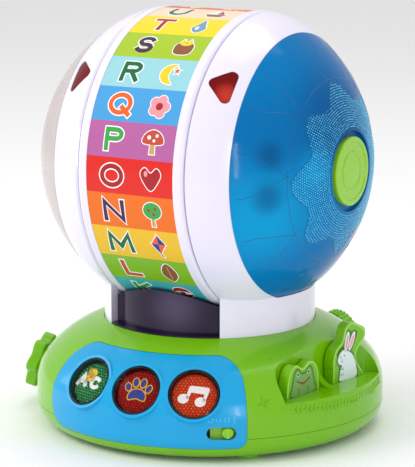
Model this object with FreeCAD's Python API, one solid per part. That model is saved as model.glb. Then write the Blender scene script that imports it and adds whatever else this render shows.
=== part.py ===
import FreeCAD, Part
import math
import os
from FreeCAD import Vector

os.makedirs("parts", exist_ok=True)

# Driving sizes in millimetres. The toy stands on z = 0, the wheel turns about X, the front faces -Y.
# It is drawn about the middle of its round base, then moved so that the origin is the bottom
# middle of the whole toy, side knobs included.
originShift = Vector(7.0, -2.8, 0)
footH = 3.0
seamZ = 15.0
shoulderZ = 25.0
baseR = 107.0
hemR = 13.35
shoulderR = 28.0
crownR = 67.5
shoulderDeg = 40.0
wall = 2.4
neckR = 64.9
openR = 65.3
socketZ = 53.0
axisZ = 162.5
bandR = 91.0
bandHalf = 29.6
drumHalf = 35.9
armX = 36.5
rimX = 60.0
armWall = 2.6
domeWall = 2.2
blueDomeR = 99.6
clearDomeR = 93.0
clearDomeShift = 12.0
legX = 38.2
axleR = 3.0
runFit = 0.05
panelLeft = -31.0
panelRight = 42.4
panelLow = 9.5
panelHigh = 58.7
panelT = 2.2
buttonAz = {"green": -14.3, "red": 5.7, "orange": 25.7}
buttonElev = 34.0
lensR = 14.9
pondAz = 82.0
pondFloor = 33.5
plaqueBack = 82.5
plaqueFront = 89.0
plaqueHalf = 16.0
plaqueMid = 23.0
rockZ = 19.0
rockArm = 24.0
rockTilt = 14.5
volumeAz = 34.5
volumeZ = 18.9
volumeRest = 3.7


def polar(radius, azimuth, z=0.0):
    a = math.radians(azimuth)
    return Vector(radius * math.sin(a), -radius * math.cos(a), z)


def outward(azimuth, elevation=0.0):
    return polar(math.cos(math.radians(elevation)), azimuth, math.sin(math.radians(elevation)))


def frameAt(origin, normal):
    side = Vector(0, 0, 1).cross(normal).normalize()
    up = normal.cross(side)
    grid = FreeCAD.Matrix(side.x, up.x, normal.x, origin.x, side.y, up.y, normal.y, origin.y,
                          side.z, up.z, normal.z, origin.z, 0, 0, 0, 1)
    return FreeCAD.Placement(grid)


def placed(shape, frame):
    moved = shape.copy()
    moved.Placement = frame.multiply(moved.Placement)
    return moved


def block(x0, x1, y0, y1, z0, z1):
    return Part.makeBox(x1 - x0, y1 - y0, z1 - z0, Vector(x0, y0, z0))


def post(radius, z0, z1, x=0.0, y=0.0):
    return Part.makeCylinder(radius, z1 - z0, Vector(x, y, z0), Vector(0, 0, 1))


def ring(outer, inner, z0, z1, x=0.0, y=0.0):
    return post(outer, z0, z1, x, y).cut(post(inner, z0 - 1, z1 + 1, x, y))


def rod(radius, x0, x1, y=0.0, z=axisZ):
    return Part.makeCylinder(radius, x1 - x0, Vector(x0, y, z), Vector(1, 0, 0))


def outline(start, steps):
    edges = []
    here = start
    for step in steps:
        if len(step) == 2:
            edges.append(Part.Arc(here, step[0], step[1]).toShape())
        elif here.distanceToPoint(step[0]) > 1e-6:
            edges.append(Part.makeLine(here, step[0]))
        here = step[-1]
    return Part.Wire(edges)


def arcSteps(centre, radius, fromDeg, toDeg):
    def at(deg):
        a = math.radians(deg)
        return Vector(centre[0] + radius * math.cos(a), 0, centre[1] + radius * math.sin(a))
    return at(fromDeg), (at((fromDeg + toDeg) / 2), at(toDeg))


def turnZ(wire):
    return Part.Face(wire).revolve(Vector(0, 0, 0), Vector(0, 0, 1), 360)


def turnX(wire):
    solid = Part.Face(wire).revolve(Vector(0, 0, 0), Vector(1, 0, 0), 360)
    solid.translate(Vector(0, 0, axisZ))
    return solid


def joined(shapes):
    whole = shapes[0].fuse(shapes[1:]) if len(shapes) > 1 else shapes[0]
    return whole.removeSplitter()


def save(name, shape):
    moved = shape.copy()
    moved.translate(originShift)
    moved.exportStep("parts/" + name + ".step")


# The base body as one solid, its skin moved inwards by the given amount.
def baseSolid(inset):
    low = footH + inset
    hemCentre = (baseR - hemR, seamZ)
    hemRad = hemR - inset
    hemDeg = -math.degrees(math.asin((seamZ - low) / hemRad))
    shoulder = (baseR - shoulderR, shoulderZ)
    slope = math.radians(shoulderDeg)
    crown = (shoulder[0] + (shoulderR - crownR) * math.cos(slope),
             shoulder[1] + (shoulderR - crownR) * math.sin(slope))
    crownDeg = math.degrees(math.acos((openR - crown[0]) / (crownR - inset)))
    hemStart, hemArc = arcSteps(hemCentre, hemRad, hemDeg, 0)
    sideTop, shoulderArc = arcSteps(shoulder, shoulderR - inset, 0, shoulderDeg)
    crownArc = arcSteps(crown, crownR - inset, shoulderDeg, crownDeg)[1]
    start = Vector(0, 0, low)
    top = Vector(0, 0, crownArc[1].z)
    return turnZ(outline(start, [(hemStart,), hemArc, (sideTop,), shoulderArc, crownArc, (top,), (start,)]))


# A wedge of the base between two azimuths with its corners rounded.
def panelPrism(grow, cornerTop, cornerLow, cornerLeftLow):
    extra = math.degrees(grow / baseR)
    left = panelLeft - extra
    right = panelRight + extra
    low = panelLow - grow
    high = panelHigh + grow
    face = Part.makePolygon([Vector(70, 0, low), Vector(125, 0, low), Vector(125, 0, high),
                             Vector(70, 0, high), Vector(70, 0, low)])
    wedge = Part.Face(face).revolve(Vector(0, 0, 0), Vector(0, 0, 1), right - left)
    wedge.rotate(Vector(0, 0, 0), Vector(0, 0, 1), left - 90)
    for deg, z, radius in ((left, high, cornerTop), (right, high, cornerTop),
                           (left, low, cornerLeftLow), (right, low, cornerLow)):
        want = polar(97.5, deg, z)
        edge = min(wedge.Edges, key=lambda e: e.CenterOfMass.distanceToPoint(want))
        wedge = wedge.makeFillet(radius, [edge])
    return wedge


fullBase = baseSolid(0)
hollowBase = baseSolid(wall)
deepBase = baseSolid(wall + 2.2)
aboveSeam = post(130, seamZ + 0.12, 90)
belowSeam = post(130, 0, seamZ - 0.12)

# Button axes: w is measured outwards from the point where each axis meets the base skin.
buttonDrop = math.radians(buttonElev + 2)
buttonFoot = (baseR - shoulderR + shoulderR * math.cos(buttonDrop), shoulderZ + shoulderR * math.sin(buttonDrop))
buttonFrame = {name: frameAt(polar(buttonFoot[0], az, buttonFoot[1]), outward(az, buttonElev))
               for name, az in buttonAz.items()}

# The two side knobs share one construction: frame, disc and how far the boss stands proud.
gearFrame = frameAt(polar(baseR, -79.5, 23.5), outward(-78, 15))
dialFrame = frameAt(polar(105.5, 162, 34.0), outward(162, 12))
volumeFrame = frameAt(polar(0.0, volumeAz, volumeZ), outward(volumeAz))
pondFrame = FreeCAD.Placement(Vector(0, 0, 0), FreeCAD.Rotation(Vector(0, 0, 1), pondAz - 90))

# Screw posts that hold the two halves of the base together.
screwSpots = [(78, 48), (78, 112), (88, -60), (88, -118), (88, -165), (62, 5.7)]


def pondPrism(grow):
    space = block(plaqueBack - 1.0 - grow, 130, -47.5 - grow, 47.5 + grow, pondFloor - grow, 95)
    corners = [e for e in space.Edges
               if abs(e.CenterOfMass.x - (plaqueBack - 1.0 - grow)) < 1e-3 and e.BoundBox.ZLength > 30]
    return space.makeFillet(11 + grow, corners)


# The fin between the two wells runs from the back wall down to the ledge.
def pondFin():
    foot = plaqueBack - 2.5
    points = [(Vector(foot, 0, 47),), (Vector(foot + 1.6, 0, 43.6),),
              (Vector(foot + 5.2, 0, 37.6), Vector(foot + 13.5, 0, pondFloor)),
              (Vector(foot + 13.5, 0, 32.0),), (Vector(foot, 0, 32.0),)]
    wire = outline(Vector(foot, 0, 32.0), points)
    fin = Part.Face(wire).extrude(Vector(0, 5.0, 0))
    fin.translate(Vector(0, -2.5, 0))
    return fin


def makeTopShell():
    skin = fullBase.cut(hollowBase).common(aboveSeam)
    socket = ring(openR + wall, openR - 1, socketZ, 63.5).fuse(ring(openR + wall, 56, socketZ, socketZ + wall))
    backing = hollowBase.cut(deepBase).common(panelPrism(wall, 14, 8, 15)).common(aboveSeam)
    pondWalls = placed(pondPrism(wall), pondFrame).common(fullBase)
    posts = [post(4.2, 16.0, 75, *polar(r, az)[:2]).common(baseSolid(1.2)) for r, az in screwSpots[:5]]
    posts.append(post(4.2, 16.0, socketZ + 1, *polar(*screwSpots[5])[:2]))
    pegs = []
    for frame in buttonFrame.values():
        for y in (-17.5, 18.5):
            pegs.append(placed(post(2.2, -17.4, 0, 0, y), frame).common(baseSolid(1.6)).common(aboveSeam))
    bosses = [placed(post(6.5, -10, 2.0), gearFrame), placed(post(6.5, -10, 1.6), dialFrame)]
    shell = joined([skin, socket, backing, pondWalls] + posts + pegs + bosses)
    shell = shell.cut(post(openR, socketZ + wall, 90)).cut(post(56, 30, 90))
    shell = shell.cut(placed(pondPrism(0), pondFrame))
    shell = shell.fuse(placed(pondFin(), pondFrame)).removeSplitter()
    shell = shell.cut(fullBase.cut(baseSolid(panelT + 0.15)).common(panelPrism(0.2, 12.2, 6.2, 14.2)))
    for name in buttonFrame:
        shell = shell.cut(placed(post(17.6, -12, 5), buttonFrame[name]))
    for r, az in screwSpots:
        shell = shell.cut(post(1.55, 15, 30, *polar(r, az)[:2]))
    for frame in (gearFrame, dialFrame):
        shell = shell.cut(placed(post(axleR + runFit, -12, 6), frame))
    for side in (-1, 1):
        slot = block(plaqueBack - 0.4, plaqueFront + 0.4, side * plaqueMid - plaqueHalf - 0.4,
                     side * plaqueMid + plaqueHalf + 0.4, 20, pondFloor + 0.5)
        shell = shell.cut(placed(slot, pondFrame))
    return shell.cut(placed(block(-18.6, 18.6, -5.8, 5.8, 85, 104.7), volumeFrame)).removeSplitter()


def makeBottomShell():
    tray = fullBase.cut(hollowBase).common(belowSeam)
    backing = hollowBase.cut(deepBase).common(panelPrism(wall, 14, 8, 15)).common(belowSeam)
    bosses = [post(4.6, 4.5, 15.9, *polar(r, az)[:2]) for r, az in screwSpots]
    bay = block(-27, 27, -5, 55, 4.5, 22.6)
    tabBlock = block(-8, 8, -13, -4, 4.9, 14)
    speakerRing = ring(24.2, 22.4, 4.5, 9.5, -56, -22)
    boardPegs = [post(2.4, 4.5, 9.0, x, y) for x in (32, 58) for y in (-38, -6)]
    bracket = placed(block(72, 76.6, -7, 7, 4.5, 25), pondFrame)
    potShelf = placed(block(-7.6, 14, -14.4, -5, 92.5, 99.4), volumeFrame)
    shell = joined([tray, backing, bay, tabBlock, speakerRing, bracket, potShelf] + bosses + boardPegs)
    shell = shell.cut(block(-24.8, 24.8, -2.8, 52.8, 0, 20.4))
    shell = shell.cut(block(-6.4, 6.4, -11.4, 0, 0, 4.9))
    shell = shell.cut(post(1.3, 4, 12, 0, -7))
    for r, az in screwSpots:
        shell = shell.cut(post(3.4, 0, 9.0, *polar(r, az)[:2])).cut(post(1.8, 0, 17, *polar(r, az)[:2]))
    for row in range(-2, 3):
        for col in range(-2, 3):
            x = -56 + 6 * col + 3 * (row % 2)
            shell = shell.cut(post(1.3, 0, 6, x, -22 + 5.2 * row))
    for x in (32, 58):
        for y in (-38, -6):
            shell = shell.cut(post(1.0, 6.5, 10, x, y))
    for deg in (45, 135, -45, -135):
        shell = shell.cut(post(2.55, 2, 4.2, *polar(90, deg)[:2]))
    shell = shell.cut(placed(Part.makeCylinder(2.0, 12, Vector(70, 0, rockZ), Vector(1, 0, 0)), pondFrame))
    shell = shell.cut(fullBase.cut(baseSolid(panelT + 0.15)).common(panelPrism(0.2, 12.2, 6.2, 14.2)))
    return shell.cut(placed(block(-18.6, 18.6, -4.9, 5.8, 99.5, 104.7), volumeFrame)).removeSplitter()


def makeFeet():
    pads = []
    for deg in (45, 135, -45, -135):
        x, y = polar(90, deg)[:2]
        pad = post(7, 0, footH, x, y)
        pad = pad.makeChamfer(0.8, [e for e in pad.Edges if e.BoundBox.ZMax < 0.1])
        pads.append(pad.fuse(post(2.5, 2, 4.1, x, y)).removeSplitter())
    return Part.makeCompound(pads)


def makeBatteryDoor():
    door = block(-24.5, 24.5, -2.5, 52.5, footH, 4.8).fuse(block(-6, 6, -11, -2, footH, 4.8))
    for y in range(8, 44, 6):
        door = door.cut(block(-12, 12, y, y + 2, footH - 1, footH + 0.7))
    door = door.cut(post(1.7, 2, 6, 0, -7)).cut(post(2.7, 2, 4.0, 0, -7))
    return door.removeSplitter()


def screw(x, y, headZ, headR, headH, shankR, length):
    head = post(headR, headZ - headH, headZ, x, y)
    cross = block(x - 1.5, x + 1.5, y - 0.3, y + 0.3, headZ - headH - 1, headZ - headH + 0.8)
    cross = cross.fuse(block(x - 0.3, x + 0.3, y - 1.5, y + 1.5, headZ - headH - 1, headZ - headH + 0.8))
    return head.fuse(post(shankR, headZ, headZ + length, x, y)).cut(cross).removeSplitter()


def makeBatteries():
    cells = []
    for x in (-15.6, 0, 15.6):
        can = Part.makeCylinder(7.2, 49.2, Vector(x, 0.9, 12.6), Vector(0, 1, 0))
        nub = Part.makeCylinder(2.7, 1.2, Vector(x, 50.1, 12.6), Vector(0, 1, 0))
        cells.append(can.fuse(nub).removeSplitter())
    return Part.makeCompound(cells)


def makeContacts():
    strips = []
    for x in (-15.6, 0, 15.6):
        plate = block(x - 5.5, x + 5.5, -2.7, -2.2, 7, 18)
        spring = Part.makeCone(4.5, 2.2, 3.0, Vector(x, -2.2, 12.6), Vector(0, 1, 0))
        spring = spring.cut(Part.makeCone(3.9, 1.6, 3.2, Vector(x, -2.3, 12.6), Vector(0, 1, 0)))
        strips.append(plate.fuse(spring).removeSplitter())
        strips.append(block(x - 5.5, x + 5.5, 51.4, 52.0, 7, 18))
    return Part.makeCompound(strips)


def makeCircuitBoard():
    board = block(28, 62, -42, -2, 9.0, 10.6)
    for x in (32, 58):
        for y in (-38, -6):
            board = board.cut(post(1.1, 8, 12, x, y))
    chips = [block(38, 50, -30, -18, 10.6, 12.4), block(33, 39, -14, -9, 10.6, 13),
             post(3, 10.6, 19, 54, -30), block(44, 56, -14, -8, 10.6, 16)]
    return joined([board] + chips)


def makeSpeaker():
    basket = post(22.0, 5.6, 10.0, -56, -22).fuse(Part.makeCone(19, 13.5, 5, Vector(-56, -22, 10)))
    cone = Part.makeCone(18, 7, 4.2, Vector(-56, -22, 5.5))
    return basket.fuse(post(13.5, 15, 20.5, -56, -22)).cut(cone).removeSplitter()


def makeControlPanel():
    skin = fullBase.cut(baseSolid(panelT)).common(panelPrism(0, 12, 6, 14))
    collars = [placed(post(17.0, -7.2, -1.4), frame) for frame in buttonFrame.values()]
    panel = joined([skin] + collars)
    for frame in buttonFrame.values():
        panel = panel.cut(placed(post(15.2, -12, 8), frame))
    pill = block(-4.9, 4.9, -3.7, 3.7, 95, 112)
    pill = pill.fuse([post(3.7, 95, 112, -4.9), post(3.7, 95, 112, 4.9)])
    return panel.cut(placed(pill, volumeFrame)).removeSplitter()


# Dome from a rim circle and a crown height, as a spherical cap along local z.
def cap(radius, z0, crown):
    big = (radius * radius + crown * crown) / (2 * crown)
    ball = Part.makeSphere(big, Vector(0, 0, z0 + crown - big))
    return ball.common(post(radius, z0, z0 + crown + 1))


def makeLens():
    flange = post(16.2, -8.6, -7.4).cut(block(-20, 20, -20, -14.9, -9, -7))
    body = post(lensR, -7.6, -1.9).fuse(cap(lensR, -1.9, 3.5)).fuse(flange)
    hollow = post(13.2, -9, -3.6).fuse(cap(13.2, -3.6, 3.2))
    return body.cut(hollow).removeSplitter()


def makePlunger():
    cross = block(-9, 9, -0.8, 0.8, -8.6, -6.3).fuse(block(-0.8, 0.8, -9, 9, -8.6, -6.3))
    collar = ring(15.8, 13.0, -9.6, -8.7).cut(block(-20, 20, -20, -14.3, -10, -8))
    legs = ring(13.0, 11.6, -9.6, -6.3)
    return joined([post(13.0, -6.4, -5.3), cross, collar, legs, post(3.2, -11.6, -6.3)])


def makeCoil(radius, wireR, z0, z1, turns):
    pitch = (z1 - z0 - 2 * wireR) / turns
    path = Part.makeLongHelix(pitch, z1 - z0 - 2 * wireR, radius)
    along = Vector(0, 2 * math.pi * radius, pitch)
    spot = Part.Wire(Part.makeCircle(wireR, Vector(radius, 0, 0), along))
    coil = Part.Wire(path).makePipeShell([spot], True, True)
    coil.translate(Vector(0, 0, z0 + wireR))
    return coil


def makeSwitch():
    board = block(-5.4, 5.4, -21.5, 21.5, -19.0, -17.4)
    body = block(-3.1, 3.1, -3.1, 3.1, -17.4, -14.4)
    switch = joined([board, body, post(1.7, -14.4, -13.8)])
    return switch.cut(post(1.2, -20, -17, 0, -17.5)).cut(post(1.2, -20, -17, 0, 18.5))


def makeLeds():
    lamps = []
    for y in (-10.5, 10.5):
        lamp = post(1.5, -17.4, -14.4, 0, y).fuse(Part.makeSphere(1.5, Vector(0, y, -14.4)))
        lamps.append(lamp.removeSplitter())
    return lamps


# The wheel and everything that turns with it.
def makeDrumHalf():
    rim = outline(Vector(bandHalf, 0, 87.8), [
        (Vector(bandHalf, 0, bandR),), (Vector(drumHalf - 2.2, 0, bandR),),
        (Vector(drumHalf - 0.65, 0, bandR - 0.65), Vector(drumHalf, 0, bandR - 2.2)),
        (Vector(drumHalf, 0, axleR),), (Vector(drumHalf - wall, 0, axleR),),
        (Vector(drumHalf - wall, 0, 87.8),), (Vector(bandHalf, 0, 87.8),)])
    half = turnX(rim)
    tread = rod(bandR - 0.8, 0.05, bandHalf + 0.5).cut(rod(87.8, -1, bandHalf + 1))
    hub = rod(9, 6, drumHalf - 1).cut(rod(axleR, 0, 40))
    half = half.fuse([tread, hub])
    for i in range(6):
        rib = block(20, drumHalf - 1, -1, 1, 8.5, 88)
        rib = rib.cut(Part.makeCylinder(34, 4, Vector(20, -2, 48), Vector(0, 1, 0)))
        rib.rotate(Vector(0, 0, 0), Vector(1, 0, 0), 60 * i)
        rib.translate(Vector(0, 0, axisZ))
        half = half.fuse(rib)
    return half.removeSplitter()


def makeCodeRing():
    band = rod(80, drumHalf - 1.0, drumHalf).cut(rod(70, 0, 60))
    for i in range(26):
        slot = block(30, 40, -1.6, 1.6, 75, 82)
        slot.rotate(Vector(0, 0, 0), Vector(1, 0, 0), i * 360 / 26)
        slot.translate(Vector(0, 0, axisZ))
        band = band.cut(slot)
    return band.removeSplitter()


# The arm's barrel about the wheel axis, its skin moved inwards and its ends given.
def barrel(inset, x0, x1):
    wire = outline(Vector(armX, 0, 0), [
        (Vector(armX, 0, 89.2 - inset),), (Vector(armX + 1.2, 0, 90.3 - inset),),
        (Vector(49, 0, 86.4 - inset), Vector(rimX, 0, 79.5 - inset)),
        (Vector(rimX, 0, 0),), (Vector(armX, 0, 0),)])
    return turnX(wire).common(block(x0, x1, -120, 120, 40, 290))


def windowPrism(grow):
    deg = math.radians(39.3)
    lean = math.radians(25)
    out = Vector(0, -math.cos(deg), math.sin(deg))
    normal = Vector(1, 0, 0) * math.sin(lean) + out * math.cos(lean)
    around = Vector(0, math.sin(deg), math.cos(deg))
    inward = around.cross(normal)
    if inward.x > 0:
        inward = inward * -1
    spot = Vector(49.0, 0, axisZ) + out * 86.5
    corners = [inward * (10.6 + grow), around * (14.6 + grow) - inward * (6.6 + grow),
               around * (-14.6 - grow) - inward * (6.6 + grow)]
    points = [spot + c - normal * 8 for c in corners]
    prism = Part.Face(Part.makePolygon(points + points[:1])).extrude(normal * 14)
    edges = [e for e in prism.Edges if abs(e.Length - 14) < 1e-3]
    return prism.makeFillet(3.4, edges)


# One arm: barrel over the dome seat, leg down into the base. ballX and ballR give the dome it carries.
def makeArm(ballX, ballR):
    ball = Part.makeSphere(ballR + 0.3, Vector(ballX, 0, axisZ)).common(block(rimX, 130, -120, 120, 40, 290))
    roof = Part.makeSphere(ballR + 2.7, Vector(ballX, 0, axisZ)).common(block(rimX - 1, 130, -120, 120, 40, 290))
    leg = post(neckR, socketZ + wall, 112).common(block(legX, 80, -80, 80, 40, 120))
    leg = leg.cut(ball)
    solid = barrel(0, armX, rimX).fuse(leg)
    room = barrel(armWall, armX + armWall, rimX + 1)
    legRoom = post(neckR - armWall, 40, 112).common(block(legX + armWall, 80, -80, 80, 30, 120))
    legRoom = legRoom.cut(barrel(0, armX, rimX)).cut(roof)
    duct = block(43, 55, -16, 16, 66, 96)
    arm = solid.cut(room).cut(legRoom).cut(duct)
    boss = rod(11, armX + 1, 46).cut(rod(6, 0, 60))
    arm = arm.fuse(boss)
    for i in range(6):
        rib = block(armX + 1, 43, -1, 1, 10.5, 84)
        rib.rotate(Vector(0, 0, 0), Vector(1, 0, 0), 60 * i + 30)
        rib.translate(Vector(0, 0, axisZ))
        arm = arm.fuse(rib)
    arm = arm.cut(rod(6, 20, 60)).cut(windowPrism(0))
    return arm.cut(block(30, 45, -5, 5, axisZ + 71, axisZ + 79)).removeSplitter()


def makeWindow():
    skin = barrel(0.3, armX, rimX).cut(barrel(armWall + 0.2, armX, rimX + 1))
    return windowPrism(-0.2).common(skin)


# Dome shell about the wheel axis: a ball centred at ballX, closed at the hub by a shallow dish if hubR > 0.
def makeDome(ballX, ballR, hubR, dishX):
    rim = rimX + 0.2
    limit = block(rim, 130, -120, 120, 40, 290)
    outer = Part.makeSphere(ballR, Vector(ballX, 0, axisZ)).common(limit)
    inner = Part.makeSphere(ballR - domeWall, Vector(ballX, 0, axisZ))
    inner = inner.common(block(rim - 1, 130, -120, 120, 40, 290))
    shell = outer.cut(inner)
    lip = rod(76.7, 55.5, rim + 3.0).cut(rod(74.6, 50, 70))
    lip = lip.common(Part.makeSphere(ballR - 0.2, Vector(ballX, 0, axisZ)))
    shell = shell.fuse(lip)
    if hubR > 0:
        plug = rod(hubR + 2, dishX - domeWall, 130).common(outer)
        shell = shell.fuse(plug).cut(rod(hubR, dishX, 130))
    return shell.removeSplitter()


def makeHubCap():
    x0 = 94.2
    wire = outline(Vector(x0, 0, 0), [
        (Vector(x0, 0, 20.5),), (Vector(x0 + 2.6, 0, 20.5),),
        (Vector(x0 + 3.4, 0, 20.2), Vector(x0 + 3.7, 0, 19.3)), (Vector(x0 + 3.7, 0, 17.6),),
        (Vector(x0 + 3.1, 0, 17.2),), (Vector(x0 + 3.1, 0, 12.0),), (Vector(x0 + 3.7, 0, 11.6),),
        (Vector(x0 + 3.7, 0, 10.6),), (Vector(x0 + 3.2, 0, 10.2),), (Vector(x0 + 3.5, 0, 0),),
        (Vector(x0, 0, 0),)])
    return turnX(wire)


def makeReflector(depth):
    wire = outline(Vector(46.4, 0, 7.5), [
        (Vector(46.4, 0, 22),), (Vector(46.4 + depth, 0, 71.5),), (Vector(48.0 + depth, 0, 71.5),),
        (Vector(48.0, 0, 22),), (Vector(48.0, 0, 7.5),), (Vector(46.4, 0, 7.5),)])
    dish = turnX(wire)
    for i in range(6):
        fin = block(47.5, 58, -1.2, 1.2, 13, 22)
        fin.rotate(Vector(0, 0, 0), Vector(1, 0, 0), 60 * i)
        fin.translate(Vector(0, 0, axisZ))
        dish = dish.fuse(fin)
    drum = rod(14.5, 47.5, 60).cut(rod(12.5, 40, 70))
    return dish.fuse(drum).removeSplitter()


def mirrored(shape):
    return shape.mirror(Vector(0, 0, 0), Vector(1, 0, 0))


def makePedestal():
    hull = post(59.5, socketZ + wall, 96).cut(post(57.3, 40, 110))
    trough = rod(bandR + 4.2, -37.8, 37.8).common(post(59.5, socketZ, 96))
    half = block(-37.8, 37.8, -80, -0.2, 40, 110)
    return hull.fuse(trough).common(half).cut(rod(bandR + 2.0, -50, 50)).removeSplitter()


def makeCollars():
    hoop = ring(neckR, 60.0, socketZ + wall, 65.8)
    front = hoop.common(block(-37.8, 37.8, -80, -20, 40, 80))
    back = hoop.common(block(-37.8, 37.8, 20, 80, 40, 80))
    return Part.makeCompound([front, back])


# The side knobs: an outline of waves around a disc.
def wavyDisc(radius, wave, count, z0, z1):
    points = []
    for i in range(count * 6):
        a = 2 * math.pi * i / (count * 6)
        r = radius + wave * math.cos(count * a)
        points.append(Vector(r * math.cos(a), r * math.sin(a), z0))
    curve = Part.BSplineCurve()
    curve.interpolate(Points=points, PeriodicFlag=True)
    return Part.Face(Part.Wire(curve.toShape())).extrude(Vector(0, 0, z1 - z0))


def makeGearKnob():
    disc = wavyDisc(16.4, 1.7, 7, 3.6, 11.4)
    rims = [e for e in disc.Edges if e.BoundBox.ZLength < 0.01]
    disc = disc.makeFillet(1.3, rims)
    disc = disc.cut(ring(10.5, 4.6, 10.0, 14)).fuse(post(5.6, 2.4, 4.0))
    return disc.cut(post(axleR, 0, 9)).removeSplitter()


def makeDialKnob():
    disc = post(14.6, 3.0, 10.5)
    disc = disc.makeFillet(1.0, disc.Edges[0:1]).fuse(post(5.6, 2.0, 3.5))
    teeth = []
    for i in range(30):
        tooth = post(0.9, 3.6, 9.8, 14.5)
        tooth.rotate(Vector(0, 0, 0), Vector(0, 0, 1), 12 * i)
        teeth.append(tooth)
    return disc.fuse(teeth).cut(post(axleR, 0, 8)).removeSplitter()


def makeKnobShaft(top):
    return post(axleR, -13.5, top).fuse(post(4.6, -11.8, -10.5)).removeSplitter()


# The two figures on the see-saw. Points are (along the row, height) about the figure's own middle.
def silhouette(points, y0, y1):
    curve = Part.BSplineCurve()
    curve.interpolate(Points=[Vector(y0, a, z) for a, z in points])
    return curve.toShape()


def makePlaque(side, points, bottom, slotZ):
    x0, x1 = plaqueBack, plaqueFront
    first, last = points[0], points[-1]
    top = silhouette(points, x0, x1)
    legs = [Part.makeLine(Vector(x0, last[0], last[1]), Vector(x0, last[0], bottom)),
            Part.makeLine(Vector(x0, last[0], bottom), Vector(x0, first[0], bottom)),
            Part.makeLine(Vector(x0, first[0], bottom), Vector(x0, first[0], first[1]))]
    slab = Part.Face(Part.Wire([top] + legs)).extrude(Vector(x1 - x0, 0, 0))
    slab.translate(Vector(0, side * plaqueMid, 0))
    slot = block(x0 - 1, x0 + 5.2, side * 23.6 - 2.7, side * 23.6 + 2.7, slotZ - 1.8, slotZ + 1.8)
    return slab.cut(slot)


def oval(y, z, ry, rz, tilt, x0, x1):
    shape = Part.makeCylinder(1, x1 - x0, Vector(x0, 0, 0), Vector(1, 0, 0))
    grid = FreeCAD.Matrix(1, 0, 0, 0, 0, ry, 0, 0, 0, 0, rz, 0, 0, 0, 0, 1)
    shape = shape.transformGeometry(grid)
    shape.rotate(Vector(0, 0, 0), Vector(1, 0, 0), tilt)
    shape.translate(Vector(0, y, z))
    return shape


def printShape(spots, side, shrink, x0, x1):
    parts = [oval(side * plaqueMid + y, z, ry - shrink, rz - shrink, tilt, x0, x1)
             for y, z, ry, rz, tilt in spots]
    return joined(parts)


frogTop = [(plaqueHalf, 38), (14.8, 44.5), (12, 50), (7.4, 52.4), (3.0, 50.2), (0, 49.4), (-3.0, 50.2),
           (-7.4, 52.4), (-12, 50), (-14.8, 44.5), (-plaqueHalf, 38)]
rabbitTop = [(plaqueHalf, 33), (12.5, 38), (7.8, 43.5), (7.0, 48.5), (10.5, 53.0), (16.4, 57.4), (16.6, 61.0),
             (10.5, 65.2), (2.5, 68.0), (-3.0, 65.5), (-6.0, 58.5), (-12.5, 54.6), (-15.8, 49.0),
             (-plaqueHalf, 42)]
frogSpots = [(0, 37.0, 10.5, 7.6, 0), (0, 43.4, 8.6, 3.6, 0), (-6.2, 46.6, 2.9, 2.9, 0),
             (6.2, 46.6, 2.9, 2.9, 0)]
rabbitSpots = [(-2.0, 38.5, 8.4, 9.2, 0), (-6.0, 49.6, 6.2, 5.2, 0), (-0.6, 57.4, 2.0, 6.2, -24),
               (4.6, 56.6, 2.0, 6.4, -34)]


def makeRocker():
    x0, x1 = 77.4, 81.2
    bar = block(x0, x1, -rockArm, rockArm, rockZ - 3, rockZ + 3)
    ends = [Part.makeCylinder(3.2, x1 - x0, Vector(x0, s * rockArm, rockZ), Vector(1, 0, 0)) for s in (-1, 1)]
    pins = [Part.makeCylinder(1.5, 5.4, Vector(x1, s * rockArm, rockZ), Vector(1, 0, 0)) for s in (-1, 1)]
    boss = Part.makeCylinder(5.5, x1 - x0, Vector(x0, 0, rockZ), Vector(1, 0, 0))
    rocker = joined([bar, boss] + ends + pins)
    rocker = rocker.cut(Part.makeCylinder(2.0 + runFit, 20, Vector(70, 0, rockZ), Vector(1, 0, 0)))
    rocker.rotate(Vector(0, 0, rockZ), Vector(1, 0, 0), rockTilt)
    return rocker


def makeRockerPin():
    pin = Part.makeCylinder(2.0, 10.8, Vector(71.2, 0, rockZ), Vector(1, 0, 0))
    return pin.fuse(Part.makeCylinder(3.6, 1.2, Vector(81.6, 0, rockZ), Vector(1, 0, 0))).removeSplitter()


def makeVolumeKnob():
    plate = block(-10.0, 13.0, -4.8, 3.9, 101.0, 102.4)
    grip = post(3.3, 102, 106.2)
    grip = grip.makeFillet(0.7, [e for e in grip.Edges if e.BoundBox.ZMin > 106])
    ridge = block(-0.8, 0.8, -2.9, 2.9, 105.5, 107.2)
    tongue = block(-1.0, 1.0, -1.8, 1.8, 97.4, 101.5)
    knob = joined([plate, grip, ridge, tongue])
    knob.translate(Vector(volumeRest, 0, 0))
    return knob


def makeVolumePot():
    body = block(-7.6, 12, -4.8, 4.8, 93, 99.6)
    return body.cut(block(-6.4, 7.0, -2.3, 2.3, 97, 101))


def makeLetterSensor():
    board = block(armX + armWall + 0.4, armX + armWall + 2.0, -9, 9, 66, 82)
    eye = block(armX + 0.8, armX + armWall + 0.5, -3, 3, 72.5, 77.5)
    sensor = board.fuse(eye).removeSplitter()
    sensor.translate(Vector(0, 0, axisZ))
    return sensor


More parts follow.
